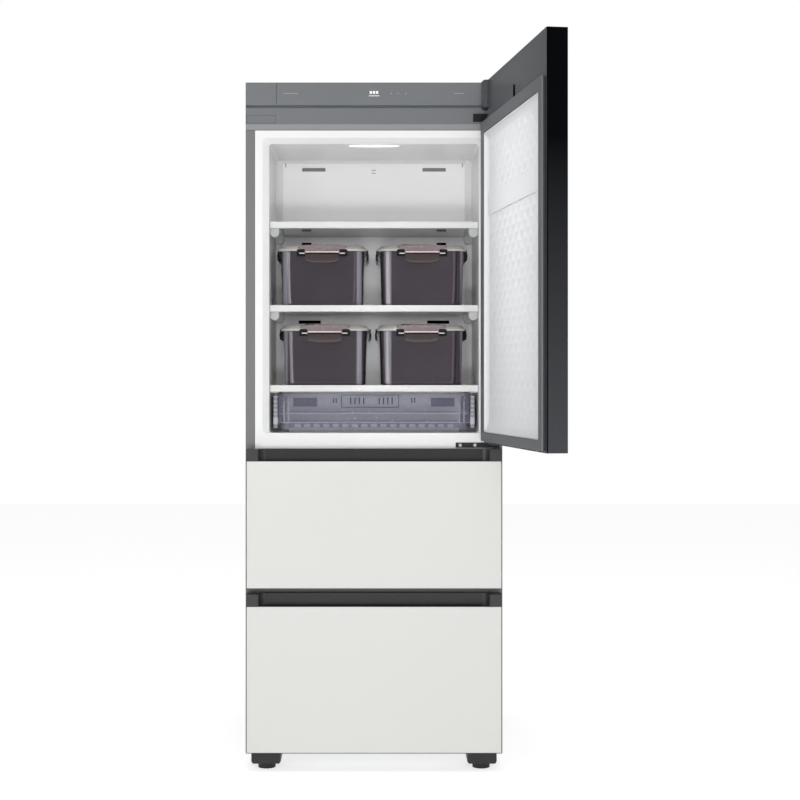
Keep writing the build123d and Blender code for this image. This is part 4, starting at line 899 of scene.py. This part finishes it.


# ---------------------------------------------------------------- kimchi containers
# Each of the four has a dark purple tub with a shallow panel pressed into its front, and a pale
# grey lid; pale bands down the tub's rounded corners are painted highlights. The lid carries a
# brown grip plate, a latch on two bright pins, and black clips at its sides; the latch's pale top
# bevel is a painted highlight and the black groove under it a painted shadow. Spans run from the
# container's middle and from the tub's foot.
TUB_PURPLE = (52, 43, 53)
TUB_CORNER_HIGHLIGHT = (132, 128, 138)
TUB_CENTRE = 0.142
HIGHLIGHT_SPAN = (0.0952, 0.1082)
HIGHLIGHT_FADE = 0.0022
BEVEL_HIGHLIGHT = (232, 216, 216)
BEVEL_SHARE = 0.115
GROOVE_SHARE = (0.135, 0.235)
TUB_WALL = 0.0022
TUB_RIM_HALF = 0.004
TUB_DRAFT = 0.004
TUB_CORNER = 0.028
TUB_CORNER_STEPS = 7
TUB_SIDE_STEPS = 56
TUB_RISE_STEPS = 40
TUB_FOOT = 0.0036
TUB_FOOT_TUCK = 0.0044
TUB_RIM_TALL = 0.005
TUB_RIM_EASE = 0.0008
TUB_FLOOR = ((0.0, 0.006), (0.003, 0.0025))
PANEL_HALF = 0.086
PANEL_SPAN = (0.011, 0.1275)
PANEL_CORNER = 0.014
PANEL_REACH = 0.012
PANEL_SLOPE = (-0.0018, 0.0034)
PANEL_DEPTH = 0.0003
LID_CORNER = 0.0349
LID_LEAST_CORNER = 0.012
LID_STEPS = (7, 3)
SKIRT_REACH = 0.0069
SKIRT_SPAN = (0.1488, 0.1555)
CROWN_RISE = 0.1639
GRIP_LOW = 0.1452
GRIP_HALF = (0.069, 0.037)
GRIP_DOME = 0.0028
GRIP_REACH = 0.0012
GRIP_SUNK = 0.0006
GRIP_CORNERS = (0.012, 0.004)
GRIP_STEPS = (6, 12)
GRIP_PROFILE = (
    (0.0, -0.0042), (0.0008, -0.0026), (0.0026, -0.001), (0.0055, -0.0004), (0.012, 0.0),
    (0.022, 0.0), (0.032, 0.0),
)
LEDGE_HALF = 0.0455
LEDGE_SPAN = (0.1478, 0.1508)
LEDGE_CORNER = 0.001
LEDGE_LAYERS = ((0.0, 0.001), (0.0, -0.0042), (0.0008, -0.005))
VENT_CAP = (-0.0415, 0.022)
VENT_CAP_HALF = (0.0135, 0.008)
VENT_CAP_CORNER = 0.006
VENT_CAP_LAYERS = ((0.0, -0.004), (0.0, -0.0004), (0.001, 0.0))
LATCH_HALF = 0.047
LATCH_BOW = 0.0052
LATCH_BACK = 0.0048
LATCH_STEPS = 18
LATCH_RISE = 0.0005
LATCH_ROWS = (
    (0.0, 0.0034, 0.0012), (0.02, 0.0026, 0.0006), (0.11, 0.0002, 0.0), (0.13, 0.0, 0.0),
    (0.14, 0.0004, 0.0), (0.15, 0.0022, 0.0), (0.22, 0.0022, 0.0), (0.235, 0.0008, 0.0),
    (0.26, 0.0, 0.0), (0.5, 0.0001, 0.0003), (0.86, 0.0, 0.001), (0.93, 0.0006, 0.0014),
    (1.0, 0.0024, 0.0024),
)
LUG_SPAN = (0.0474, 0.069)
LUG_TALL = 0.019
LUG_LEVEL = 0.144
LUG_CORNER = 0.003
LUG_LAYERS = ((0.0, 0.0012), (0.0, -0.0008), (0.0012, -0.0022))
PIN_SPAN = (0.0478, 0.0625)
PIN_RADIUS = 0.0016
PIN_LEVEL = 0.142
PIN_DEPTH = 0.0025
CLIP_HALF = 0.075
CLIP_PROFILE = (
    (0.0, 0.1539), (0.0015, 0.1552), (0.0036, 0.1546), (0.0042, 0.1493), (0.004, 0.1457),
    (0.005, 0.1436), (0.0056, 0.1404), (0.0054, 0.1355), (0.0042, 0.1335), (0.005, 0.131),
    (0.0044, 0.1275), (0.0, 0.1239), (-0.0025, 0.1237), (-0.0005, 0.1289), (0.0002, 0.153),
)

tub_plastic = finish_of(
    "tub_purple", TUB_PURPLE, 0.2, grain_size=0.0012, grain_depth=0.00001, drift=0.05,
    drift_size=0.06, Specular_IOR_Level=0.7, Coat_Weight=0.3, Coat_Roughness=0.06,
)


def paint_tub(tree, place, own, shader):
    """Painted highlights: the rounded corners are painted paler, standing in for the reflection of
    the lights.
    """
    out = magnitude(tree, along(tree, place, (1.0, 0.0, 0.0), 0.0))
    from_middle = magnitude(tree, maths(tree, "SUBTRACT", out, TUB_CENTRE))
    corner = between(tree, from_middle, *HIGHLIGHT_SPAN, HIGHLIGHT_FADE)
    tree.links.new(blend_colour(tree, corner, own, screen(*TUB_CORNER_HIGHLIGHT)),
                   shader.inputs["Base Color"])


paint_over(tub_plastic, paint_tub)
lid_plastic = finish_of(
    "lid_grey", (194, 191, 186), 0.16, grain_size=0.001, grain_depth=0.00001, drift=0.03,
    drift_size=0.05, Transmission_Weight=0.15, IOR=1.45,
)
latch_plastic = finish_of(
    "latch_brown", (58, 47, 47), 0.24, grain_size=0.0008, grain_depth=0.00001, drift=0.03,
    drift_size=0.03, Coat_Weight=0.2, Coat_Roughness=0.1,
)
grip_plastic = finish_of(
    "grip_brown", (138, 123, 124), 0.26, grain_size=0.006, grain_depth=0.0002, drift=0.16,
    drift_size=0.009,
)
black_plastic_and_groove_shade = finish_of(
    "black_plastic_and_groove_shade", (20, 19, 21), 0.3, grain_size=0.0008, Specular_IOR_Level=0.2,
)
bevel_highlight_plastic = finish_of("latch_bevel_highlight", BEVEL_HIGHLIGHT, 0.2)
bright_pin = finish_of("bright_pin", (232, 230, 236), 0.16, grain_depth=0.0, Metallic=1.0)


def smooth_step(value, low, high):
    """0 below low, 1 above high, and a smooth rise between them."""
    share = min(max((value - low) / (high - low), 0.0), 1.0)
    return share * share * (3 - 2 * share)


def depth_in(x, z, half, span, corner):
    """How far a point lies inside a rounded rectangle. It is negative outside."""
    over_x = abs(x) - half + corner
    over_z = abs(z - middle_of(span)) - half_of(span) + corner
    outside = math.hypot(max(over_x, 0.0), max(over_z, 0.0))
    return corner - outside - min(max(over_x, over_z), 0.0)


def add_tub(shape, low, half_x, half_y, centre, height):
    """A drafted tub with a rolled rim and a panel pressed into its front."""
    outer = []
    levels = [0.0, TUB_FOOT / 6, TUB_FOOT / 2, TUB_FOOT]
    side = height - TUB_FOOT - TUB_RIM_TALL
    levels += [
        TUB_FOOT + side * step / TUB_RISE_STEPS for step in range(1, TUB_RISE_STEPS + 1)
    ]
    for level in levels:
        grown = TUB_DRAFT * level / height
        tuck = TUB_FOOT_TUCK * (1 - smooth_step(level, -TUB_FOOT, TUB_FOOT))
        loop = rounded_loop(
            half_x - TUB_DRAFT + grown - tuck, half_y - TUB_DRAFT + grown - tuck,
            TUB_CORNER - tuck, level, TUB_CORNER_STEPS, TUB_SIDE_STEPS,
        )
        for point in loop:
            if point.y < -half_y + PANEL_REACH:
                inside = depth_in(point.x, level, PANEL_HALF, PANEL_SPAN, PANEL_CORNER)
                point.y += PANEL_DEPTH * smooth_step(inside, *PANEL_SLOPE)
        outer.append(loop)

    rim, ease = TUB_RIM_HALF, TUB_RIM_EASE
    layers = [
        (rim - ease, height - TUB_RIM_TALL), (rim, height - TUB_RIM_TALL + ease),
        (rim, height - ease), (rim - ease, height), (-TUB_WALL + ease, height),
        (-TUB_WALL, height - ease),
    ]
    layers += [(-TUB_DRAFT - TUB_WALL - inset, level) for inset, level in TUB_FLOOR]
    for grow, level in layers:
        outer.append(rounded_loop(
            half_x + grow, half_y + grow, TUB_CORNER + grow, level,
            TUB_CORNER_STEPS, TUB_SIDE_STEPS,
        ))
    place = Matrix.Translation((centre[0], centre[1], low))
    skin(shape, [[place @ point for point in loop] for loop in outer])


def add_lid(shape, lid_box, top):
    """A lid with a skirt round the rim, slopes up to a flat crown, and a hollow underside."""
    half_x, half_y = (lid_box[1].x - lid_box[0].x) / 2, (lid_box[1].y - lid_box[0].y) / 2
    centre = middle_of(lid_box)
    skirt_low = top - CROWN_RISE + SKIRT_SPAN[0]
    skirt_top = top - CROWN_RISE + SKIRT_SPAN[1]
    profile = (
        (0.0025, skirt_top - 0.002), (0.0025, skirt_low + 0.0006), (0.0019, skirt_low),
        (0.0006, skirt_low), (0.0, skirt_low + 0.0006), (0.0, skirt_top - 0.0012),
        (0.0004, skirt_top - 0.0004), (0.0014, skirt_top), (0.0024, skirt_top + 0.0006),
        (0.0095, top - 0.0008), (0.0115, top), (0.017, top), (0.0185, top - 0.0009),
    )
    loops = [
        rounded_loop(
            half_x - inset, half_y - inset, max(LID_CORNER - inset, LID_LEAST_CORNER), level,
            *LID_STEPS, centre=(centre.x, centre.y),
        )
        for inset, level in profile
    ]
    skin(shape, loops)


def add_grip(shape, centre, front, low, top):
    """The grip plate: rounded in plan, with a soft edge and a slightly domed top."""
    middle = (centre, front + GRIP_HALF[1])
    loops = []
    for inset, level in ((0.0, low), *((inset, top + rise) for inset, rise in GRIP_PROFILE)):
        loop = rounded_loop(
            GRIP_HALF[0] - inset, GRIP_HALF[1] - inset,
            max(GRIP_CORNERS[0] - inset, GRIP_CORNERS[1]), level, *GRIP_STEPS, centre=middle,
        )
        for point in loop:
            if level > low:
                share = (point.x - centre) / GRIP_HALF[0]
                point.z -= GRIP_DOME * share * share
        loops.append(loop)
    skin(shape, loops)


def add_latch(shape, centre, front, low, top):
    """The latch: a bevel along its top, a groove under it, a flat face and a bowed lower edge."""
    rings = []
    for share, depth, narrow in LATCH_ROWS:
        ring = []
        for step in range(LATCH_STEPS + 1):
            out = 1 - 2 * step / LATCH_STEPS
            edge = low + LATCH_BOW * (1 - (1 - out ** 4) ** 0.8)
            ring.append(Vector((
                centre - (LATCH_HALF - narrow) * out, front + depth, top - share * (top - edge),
            )))
        back = [Vector((point.x, front + LATCH_BACK, point.z)) for point in reversed(ring)]
        rings.append(ring + back)
    skin(shape, rings)


for number in range(1, 5):
    tub_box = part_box(f"container_{number}_tub")
    lid_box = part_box(f"container_{number}_lid")
    latch_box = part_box(f"container_{number}_latch")
    foot_z = tub_box[0].z
    centre_x = (tub_box[0].x + tub_box[1].x) / 2
    centre_y = (tub_box[0].y + tub_box[1].y) / 2
    tub_half_x = (tub_box[1].x - tub_box[0].x) / 2 - TUB_RIM_HALF
    tub_half_y = (tub_box[1].y - tub_box[0].y) / 2 - TUB_RIM_HALF
    name = f"container_{number}"

    tub_shape = bmesh.new()
    add_tub(tub_shape, foot_z, tub_half_x, tub_half_y, (centre_x, centre_y),
            tub_box[1].z - foot_z)
    tub = new_piece(f"{name}_shell", f"tub_{number}", tub_plastic, tub_shape,
                    corner=50)
    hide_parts(f"{name}_tub")

    skirt_half = tub_half_x + SKIRT_REACH
    skirt_box = (
        Vector((centre_x - skirt_half, centre_y - tub_half_y - SKIRT_REACH, 0)),
        Vector((centre_x + skirt_half, centre_y + tub_half_y + SKIRT_REACH, 0)),
    )
    lid_shape = bmesh.new()
    add_lid(lid_shape, skirt_box, foot_z + CROWN_RISE)
    lid = new_piece(f"{name}_cover", f"lid_{number}", lid_plastic, lid_shape,
                    corner=50)
    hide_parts(f"{name}_lid")

    grip_shape = bmesh.new()
    grip_front = skirt_box[0].y - GRIP_REACH
    add_grip(grip_shape, centre_x, grip_front, foot_z + GRIP_LOW, lid_box[1].z - GRIP_SUNK)
    upright_plate(grip_shape, LEDGE_HALF, half_of(LEDGE_SPAN), LEDGE_CORNER,
                  [(inset, grip_front + depth) for inset, depth in LEDGE_LAYERS], 2,
                  centre=(centre_x, foot_z + middle_of(LEDGE_SPAN)))
    new_piece(f"{name}_grip", f"lid_{number}", grip_plastic, grip_shape, corner=50)
    vent_shape = bmesh.new()
    skin(vent_shape, [
        rounded_loop(
            VENT_CAP_HALF[0] - inset, VENT_CAP_HALF[1] - inset, VENT_CAP_CORNER - inset,
            lid_box[1].z + rise, centre=(centre_x + VENT_CAP[0], grip_front + VENT_CAP[1]),
        )
        for inset, rise in VENT_CAP_LAYERS
    ])
    new_piece(f"{name}_vent", f"lid_{number}", black_plastic_and_groove_shade, vent_shape)

    latch_shape = bmesh.new()
    latch_top = latch_box[1].z + LATCH_RISE
    add_latch(latch_shape, centre_x, latch_box[0].y, latch_box[0].z, latch_top)
    latch = new_piece(f"{name}_flap", f"latch_{number}", latch_plastic,
                      latch_shape, corner=25)
    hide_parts(f"{name}_latch")
    # The faces of the top bevel take a pale painted highlight, and the faces in the groove under it
    # take black as a painted shadow.
    latch.data.materials.append(bevel_highlight_plastic)
    latch.data.materials.append(black_plastic_and_groove_shade)
    for face in latch.data.polygons:
        share = (latch_top - face.center.z) / (latch_top - latch_box[0].z)
        if share < BEVEL_SHARE:
            face.material_index = 1
        elif GROOVE_SHARE[0] < share < GROOVE_SHARE[1]:
            face.material_index = 2

    lug_shape, pin_shape, clip_shape = bmesh.new(), bmesh.new(), bmesh.new()
    for side in (-1, 1):
        upright_plate(lug_shape, half_of(LUG_SPAN), LUG_TALL / 2, LUG_CORNER,
                      [(inset, grip_front + depth) for inset, depth in LUG_LAYERS],
                      centre=(centre_x + side * middle_of(LUG_SPAN), foot_z + LUG_LEVEL))
        pin_start = (centre_x + side * PIN_SPAN[0], latch_box[0].y + PIN_DEPTH, foot_z + PIN_LEVEL)
        turned(pin_shape, ((PIN_RADIUS, 0.0), (PIN_RADIUS, PIN_SPAN[1] - PIN_SPAN[0])),
               facing(pin_start, (side, 0, 0)))
        skin(clip_shape, [
            [
                Vector((centre_x + side * (skirt_half + out), centre_y + reach, foot_z + up))
                for out, up in CLIP_PROFILE
            ]
            for reach in (-CLIP_HALF, CLIP_HALF)
        ])
    new_piece(f"{name}_lugs", f"lid_{number}", black_plastic_and_groove_shade, lug_shape)
    new_piece(f"{name}_pins", f"lid_{number}", bright_pin, pin_shape)
    new_piece(f"{name}_clips", f"lid_{number}", black_plastic_and_groove_shade, clip_shape)


# ---------------------------------------------------------------- clear tray
# A wide tray of clear bluish plastic slides on the compartment's floor. It has rounded corners, a
# lip, two fine ridges round it, a frame moulded in its front, arched feet and ribbed side guides.
# The dark band behind its feet and the dark bars in its front corners are painted shade, and pale
# uprights near its corners are painted highlights.
TRAY_WALL = 0.0025
TRAY_HALF = 0.2635
TRAY_CORNER = 0.03
TRAY_TUCK = ((0.028, 0.036), (0.012, 0.013))
TRAY_LIP = 0.0016
RIDGE_LEVELS = (0.0522, 0.0268)
RIDGE_HALF = 0.0007
RIDGE_PROUD = 0.0012
WALL_BITE = 0.0002
FRAME_SPAN = ((-0.0895, 0.0685), (0.068, 0.103))
FRAME_BAR = 0.0018
BAR_GROUPS = (-0.0655, 0.0125)
BAR_COUNT = 4
BAR_PITCH = 0.0118
BAR_WIDE = 0.0034
BAR_SPAN = (0.0775, 0.0955)
ARCH_PITCH = 0.0262
ARCH_COUNT = 17
ARCH_HALF = (0.0092, 0.0046)
ARCH_LEVEL = 0.0186
ARCH_ROUNDING = 0.95
ARCH_DEPTH = (0.004, 0.003)
FOOT_BAND = (0.0126, 0.0262)
BAND_DEPTH = (0.006, 0.0045)
FOOT_STRIP = (0.0012, 0.0118)
STRIP_DEPTH = (0.0138, 0.0128)
HIGHLIGHT_UPRIGHTS = (0.2332, 0.2461)
UPRIGHT_HALF = 0.0009
UPRIGHT_SPAN = (0.0275, 0.083)
UPRIGHT_DEPTH = (0.003, -0.0006)
CORNER_SPAN = (0.028, 0.1)
CORNER_SHADE = ((0.238, 0.2445), (0.006, 0.005))
CORNER_FILL = ((0.2535, 0.2615), (0.018, 0.017))
GUIDE_BARS = ((0.022, 0.042), (0.048, 0.052), (0.059, 0.063), (0.071, 0.075), (0.083, 0.087),
              (0.096, 0.1))
GUIDE_REACH = 0.2766
GUIDE_CORNER = 0.003
GUIDE_INSET = 0.012
WEB_INSET = 0.016
WEB_REACH = (0.0016, 0.0008)
WEB_FOOT = 0.012
TRAY_LEVELS = (0.0, 0.001, 0.0028, 0.0055, 0.009, 0.013, 0.019, 0.027, 0.036, 0.07, 0.101)
LIP_FOOT = 0.1016
LIP_EDGE = 0.0006
SMALLEST_CORNER = 0.006
MIDDLE_SHIFT = 0.0005
END_CLEARANCE = 0.0015

tray_plastic = finish_of(
    "clear_bluish_plastic", (176, 177, 206), 0.07, grain_size=0.002, grain_depth=0.00001,
    drift=0.02, drift_size=0.1, gloss_patches=0.01, Alpha=0.11, Specular_IOR_Level=0.9,
)
# Pale clear plastic for the ridges, and for the uprights, which are painted highlights.
rib_and_highlight_plastic = finish_of(
    "clear_rib_and_highlight_plastic", (206, 207, 216), 0.12, grain_depth=0.0, drift=0.03, drift_size=0.03,
    gloss_patches=0.02, Alpha=0.65,
)
shade_plastic = finish_of(
    "shaded_rib_plastic", (72, 70, 94), 0.3, grain_depth=0.0, drift=0.05, drift_size=0.02,
    Alpha=0.45,
)
# A dark opaque plastic, painted shade behind the feet and in the front corners.
shade_band_plastic = finish_of("painted_shade_band_plastic", (84, 81, 102), 0.3, drift=0.06, drift_size=0.02)
arch_plastic = finish_of("pale_foot_plastic", (146, 145, 156), 0.3, drift=0.1, drift_size=0.01)
frosted_plastic = finish_of(
    "frosted_foot_plastic", (150, 152, 148), 0.5, grain_size=0.003, grain_depth=0.0003, drift=0.3,
    drift_size=0.004,
)
guide_plastic = finish_of("guide_plastic", (188, 190, 196), 0.2, drift=0.05, drift_size=0.02)
tray_low, tray_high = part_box("clear_tray")
tray_middle = (tray_low.y + tray_high.y) / 2 + MIDDLE_SHIFT
tray_deep = (tray_high.y - tray_low.y) / 2 - END_CLEARANCE


def tucked(level, reach, rise):
    """How far a wall has drawn in at a level, round the tray's lower edge."""
    share = 1 - min(level / rise, 1.0)
    return reach * (1 - math.sqrt(1 - share * share))


def tray_loop(level, inset):
    """The tray's outline at a level over its foot."""
    in_x, in_y = (tucked(level, *tuck) + inset for tuck in TRAY_TUCK)
    return rounded_loop(
        TRAY_HALF - in_x, tray_deep - in_y, max(TRAY_CORNER - max(in_x, in_y), SMALLEST_CORNER),
        tray_low.z + level, 8, centre=(0.0, tray_middle),
    )


tray_shape = bmesh.new()
tray_top = tray_high.z - tray_low.z
tray_loops = [tray_loop(level, 0.0) for level in TRAY_LEVELS]
tray_loops += [
    tray_loop(LIP_FOOT, -TRAY_LIP), tray_loop(tray_top - LIP_EDGE, -TRAY_LIP),
    tray_loop(tray_top, -TRAY_LIP + LIP_EDGE), tray_loop(tray_top, TRAY_WALL - LIP_EDGE),
    tray_loop(tray_top - LIP_EDGE, TRAY_WALL),
]
tray_loops += [tray_loop(level, TRAY_WALL) for level in reversed(TRAY_LEVELS[3:-1])]
skin(tray_shape, tray_loops)
tray_piece = new_piece("tray_shell", "tray", tray_plastic, tray_shape, corner=50)
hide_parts("clear_tray")

rib_shape, shade_shape, strip_shape = bmesh.new(), bmesh.new(), bmesh.new()
band_shape, arch_shape, guide_shape = bmesh.new(), bmesh.new(), bmesh.new()
tray_face = tray_middle - tray_deep


def face_bar(shape, x_span, z_span, depths=(WALL_BITE, -RIDGE_PROUD), rounding=0.4):
    """A bar on or behind the tray's front, from its spans in X and over the tray's foot."""
    half_x, half_z = half_of(x_span), half_of(z_span)
    upright_plate(shape, half_x, half_z, min(half_x, half_z) * rounding,
                  [(0.0, tray_face + depth) for depth in depths], 3,
                  centre=(middle_of(x_span), tray_low.z + middle_of(z_span)))


ridge_half = TRAY_HALF - TRAY_CORNER
for ridge in RIDGE_LEVELS:
    skin(rib_shape, [
        tray_loop(ridge + rise, inset)
        for rise, inset in (
            (-RIDGE_HALF, WALL_BITE), (-RIDGE_HALF, -RIDGE_PROUD), (RIDGE_HALF, -RIDGE_PROUD),
            (RIDGE_HALF, WALL_BITE),
        )
    ], close_start=False, close_end=False)
frame_x, frame_z = FRAME_SPAN
for x_span, z_span in (
    (frame_x, (frame_z[0], frame_z[0] + FRAME_BAR)),
    (frame_x, (frame_z[1] - FRAME_BAR, frame_z[1])),
    ((frame_x[0], frame_x[0] + FRAME_BAR), frame_z),
    ((frame_x[1] - FRAME_BAR, frame_x[1]), frame_z),
):
    face_bar(shade_shape, x_span, z_span)
for group in BAR_GROUPS:
    for bar in range(BAR_COUNT):
        bar_x = group + bar * BAR_PITCH
        face_bar(shade_shape, (bar_x, bar_x + BAR_WIDE), BAR_SPAN)
# The dark band behind the arched feet is painted shade.
face_bar(band_shape, (-ridge_half, ridge_half), FOOT_BAND, BAND_DEPTH)
face_bar(strip_shape, (-ridge_half, ridge_half), FOOT_STRIP, STRIP_DEPTH)
for arch in range(ARCH_COUNT):
    arch_x = (arch - (ARCH_COUNT - 1) / 2) * ARCH_PITCH
    face_bar(arch_shape, around(arch_x, ARCH_HALF[0]), around(ARCH_LEVEL, ARCH_HALF[1]),
             ARCH_DEPTH, ARCH_ROUNDING)


def add_guide(shape, side, near, far, inset, levels):
    """A bar along one side of the tray, between two levels over its foot."""
    span = sorted((side * near, side * far))
    skin(shape, [
        rounded_loop(half_of(span), tray_deep - inset, GUIDE_CORNER, tray_low.z + level, 3,
                     centre=(middle_of(span), tray_middle))
        for level in levels
    ])


for side in (-1, 1):
    # Pale uprights near each front corner are painted highlights, standing in for the reflections
    # down its rounded corners.
    for upright in HIGHLIGHT_UPRIGHTS:
        face_bar(rib_shape, around(side * upright, UPRIGHT_HALF), UPRIGHT_SPAN, UPRIGHT_DEPTH)
    # Dark bars inside each front corner are painted shade.
    for shape, (reach, depths) in ((shade_shape, CORNER_SHADE), (band_shape, CORNER_FILL)):
        face_bar(shape, sorted(side * place for place in reach), CORNER_SPAN, depths)
    for levels in GUIDE_BARS:
        add_guide(guide_shape, side, TRAY_HALF + WALL_BITE, GUIDE_REACH, GUIDE_INSET, levels)
    add_guide(arch_shape, side, TRAY_HALF + WEB_REACH[0], GUIDE_REACH - WEB_REACH[1], WEB_INSET,
              (WEB_FOOT, GUIDE_BARS[-1][1]))
new_piece("tray_ribs_and_highlights", "tray", rib_and_highlight_plastic, rib_shape)
new_piece("tray_shaded_ribs", "tray", shade_plastic, shade_shape)
new_piece("tray_foot_strip", "tray", frosted_plastic, strip_shape, smooth=False)
new_piece("tray_foot_shade_band", "tray", shade_band_plastic, band_shape, smooth=False)
new_piece("tray_arches", "tray", arch_plastic, arch_shape, smooth=False)
new_piece("tray_guides", "tray", guide_plastic, guide_shape)


# ---------------------------------------------------------------- floor, light and camera
# A pale studio floor under a soft, even sky. Panels in front and above fill evenly, others at the
# sides show in the gloss, and four weak narrow beams reach the open compartment and the door's
# liner. The camera stands in front of the cabinet's middle, at chest height.
FLOOR_HALF = 9.0
SKY_LIGHT = 0.33
FLOOR_GLOW = 0.66
CAMERA_PLACE = (0.0, -4.5875, 1.0355)
CAMERA_LENS = 70.65
CAMERA_SHIFT = (0.0325, -0.0194)
WHITE = (1.0, 1.0, 1.0, 1.0)
WIDE_BEAM = 180
# Each panel of light: its name, place, aim, width and height, watts, beam in degrees, and
# whether it shows in gloss and whether it lights matt surfaces.
LIGHT_PANELS = (
    ("front_fill", (0.0, -4.9, 1.6), (0.0, -0.3, 1.0), (1.4, 1.0), 40, WIDE_BEAM, False, True),
    ("low_fill", (0.0, -4.7, 0.25), (0.0, -0.3, 1.1), (1.4, 0.4), 46, WIDE_BEAM, False, True),
    ("cavity_fill", (0.0, -4.6, 1.25), (0.0, 0.0, 1.2), (0.36, 0.5), 0.09, 5, False, True),
    ("cavity_left", (-1.6, -4.2, 1.3), (0.28, -0.1, 1.25), (0.4, 0.8), 0.045, 5, False, True),
    ("cavity_right", (1.5, -4.3, 1.3), (-0.28, -0.1, 1.25), (0.4, 0.8), 0.02, 5, False, True),
    ("door_fill", (-1.7, -0.74, 3.6), (0.3, -0.72, 1.6), (0.5, 0.8), 0.75, 11, False, True),
    ("left_panel", (-1.7, -4.1, 1.5), (0.0, -0.3, 1.1), (0.6, 2.2), 10, WIDE_BEAM, True, True),
    ("right_panel", (2.6, -3.6, 1.5), (0.0, -0.3, 1.1), (0.6, 2.2), 12, WIDE_BEAM, True, True),
    ("left_shine", (-2.3, -2.5, 1.35), (-0.15, -0.3, 1.2), (2.8, 1.6), 36, WIDE_BEAM, True, False),
    ("right_shine", (0.95, -4.3, 1.3), (0.0, -0.3, 1.2), (0.35, 1.8), 5, WIDE_BEAM, True, False),
    ("top_panel", (0.0, -1.2, 4.6), (0.0, -0.2, 1.0), (2.6, 2.0), 34, WIDE_BEAM, True, True),
)

floor_shape = bmesh.new()
bmesh.ops.create_grid(floor_shape, x_segments=1, y_segments=1, size=FLOOR_HALF)
floor_mesh = bpy.data.meshes.new("studio_floor")
floor_shape.to_mesh(floor_mesh)
floor_shape.free()
floor = bpy.data.objects.new("studio_floor", floor_mesh)
bpy.context.scene.collection.objects.link(floor)
floor_paint = finish_of("floor_paint", (242, 242, 242), 0.8, grain_depth=0.0, drift=0.0)
floor_mesh.materials.append(floor_paint)
floor_tree = floor_paint.node_tree
floor_path = floor_tree.nodes.new("ShaderNodeLightPath")
seen = maths(floor_tree, "MAXIMUM", floor_path.outputs["Is Camera Ray"],
             floor_path.outputs["Is Glossy Ray"])
floor_shader = floor_tree.nodes["Principled BSDF"]
floor_shader.inputs["Emission Color"].default_value = WHITE
floor_tree.links.new(maths(floor_tree, "MULTIPLY", seen, FLOOR_GLOW),
                     floor_shader.inputs["Emission Strength"])

sky = bpy.data.worlds.new("studio_sky")
bpy.context.scene.world = sky
sky.use_nodes = True
sky_tree = sky.node_tree
backdrop = sky_tree.nodes["Background"]
sky_path = sky_tree.nodes.new("ShaderNodeLightPath")
direct = maths(sky_tree, "MAXIMUM", sky_path.outputs["Is Camera Ray"],
               sky_path.outputs["Is Transmission Ray"])
sky_tree.links.new(ramp(sky_tree, direct, 0.0, 1.0, low=SKY_LIGHT), backdrop.inputs["Strength"])
backdrop.inputs["Color"].default_value = WHITE

for name, place, aim, size, watts, beam, in_gloss, in_fill in LIGHT_PANELS:
    light = bpy.data.lights.new(name, "AREA")
    light.shape = "RECTANGLE"
    light.size, light.size_y = size
    light.energy = watts
    light.spread = math.radians(beam)
    lamp = bpy.data.objects.new(name, light)
    lamp.location = place
    lamp.rotation_euler = (Vector(aim) - Vector(place)).to_track_quat("-Z", "Y").to_euler()
    lamp.visible_glossy, lamp.visible_diffuse = in_gloss, in_fill
    lamp.visible_camera = False
    bpy.context.scene.collection.objects.link(lamp)

camera_data = bpy.data.cameras.new("camera")
camera_data.lens = CAMERA_LENS
camera_data.shift_x, camera_data.shift_y = CAMERA_SHIFT
camera = bpy.data.objects.new("camera", camera_data)
camera.location = CAMERA_PLACE
camera.rotation_euler = (math.pi / 2, 0.0, 0.0)
bpy.context.scene.collection.objects.link(camera)
bpy.context.scene.camera = camera
bpy.context.scene.view_settings.view_transform = "Standard"
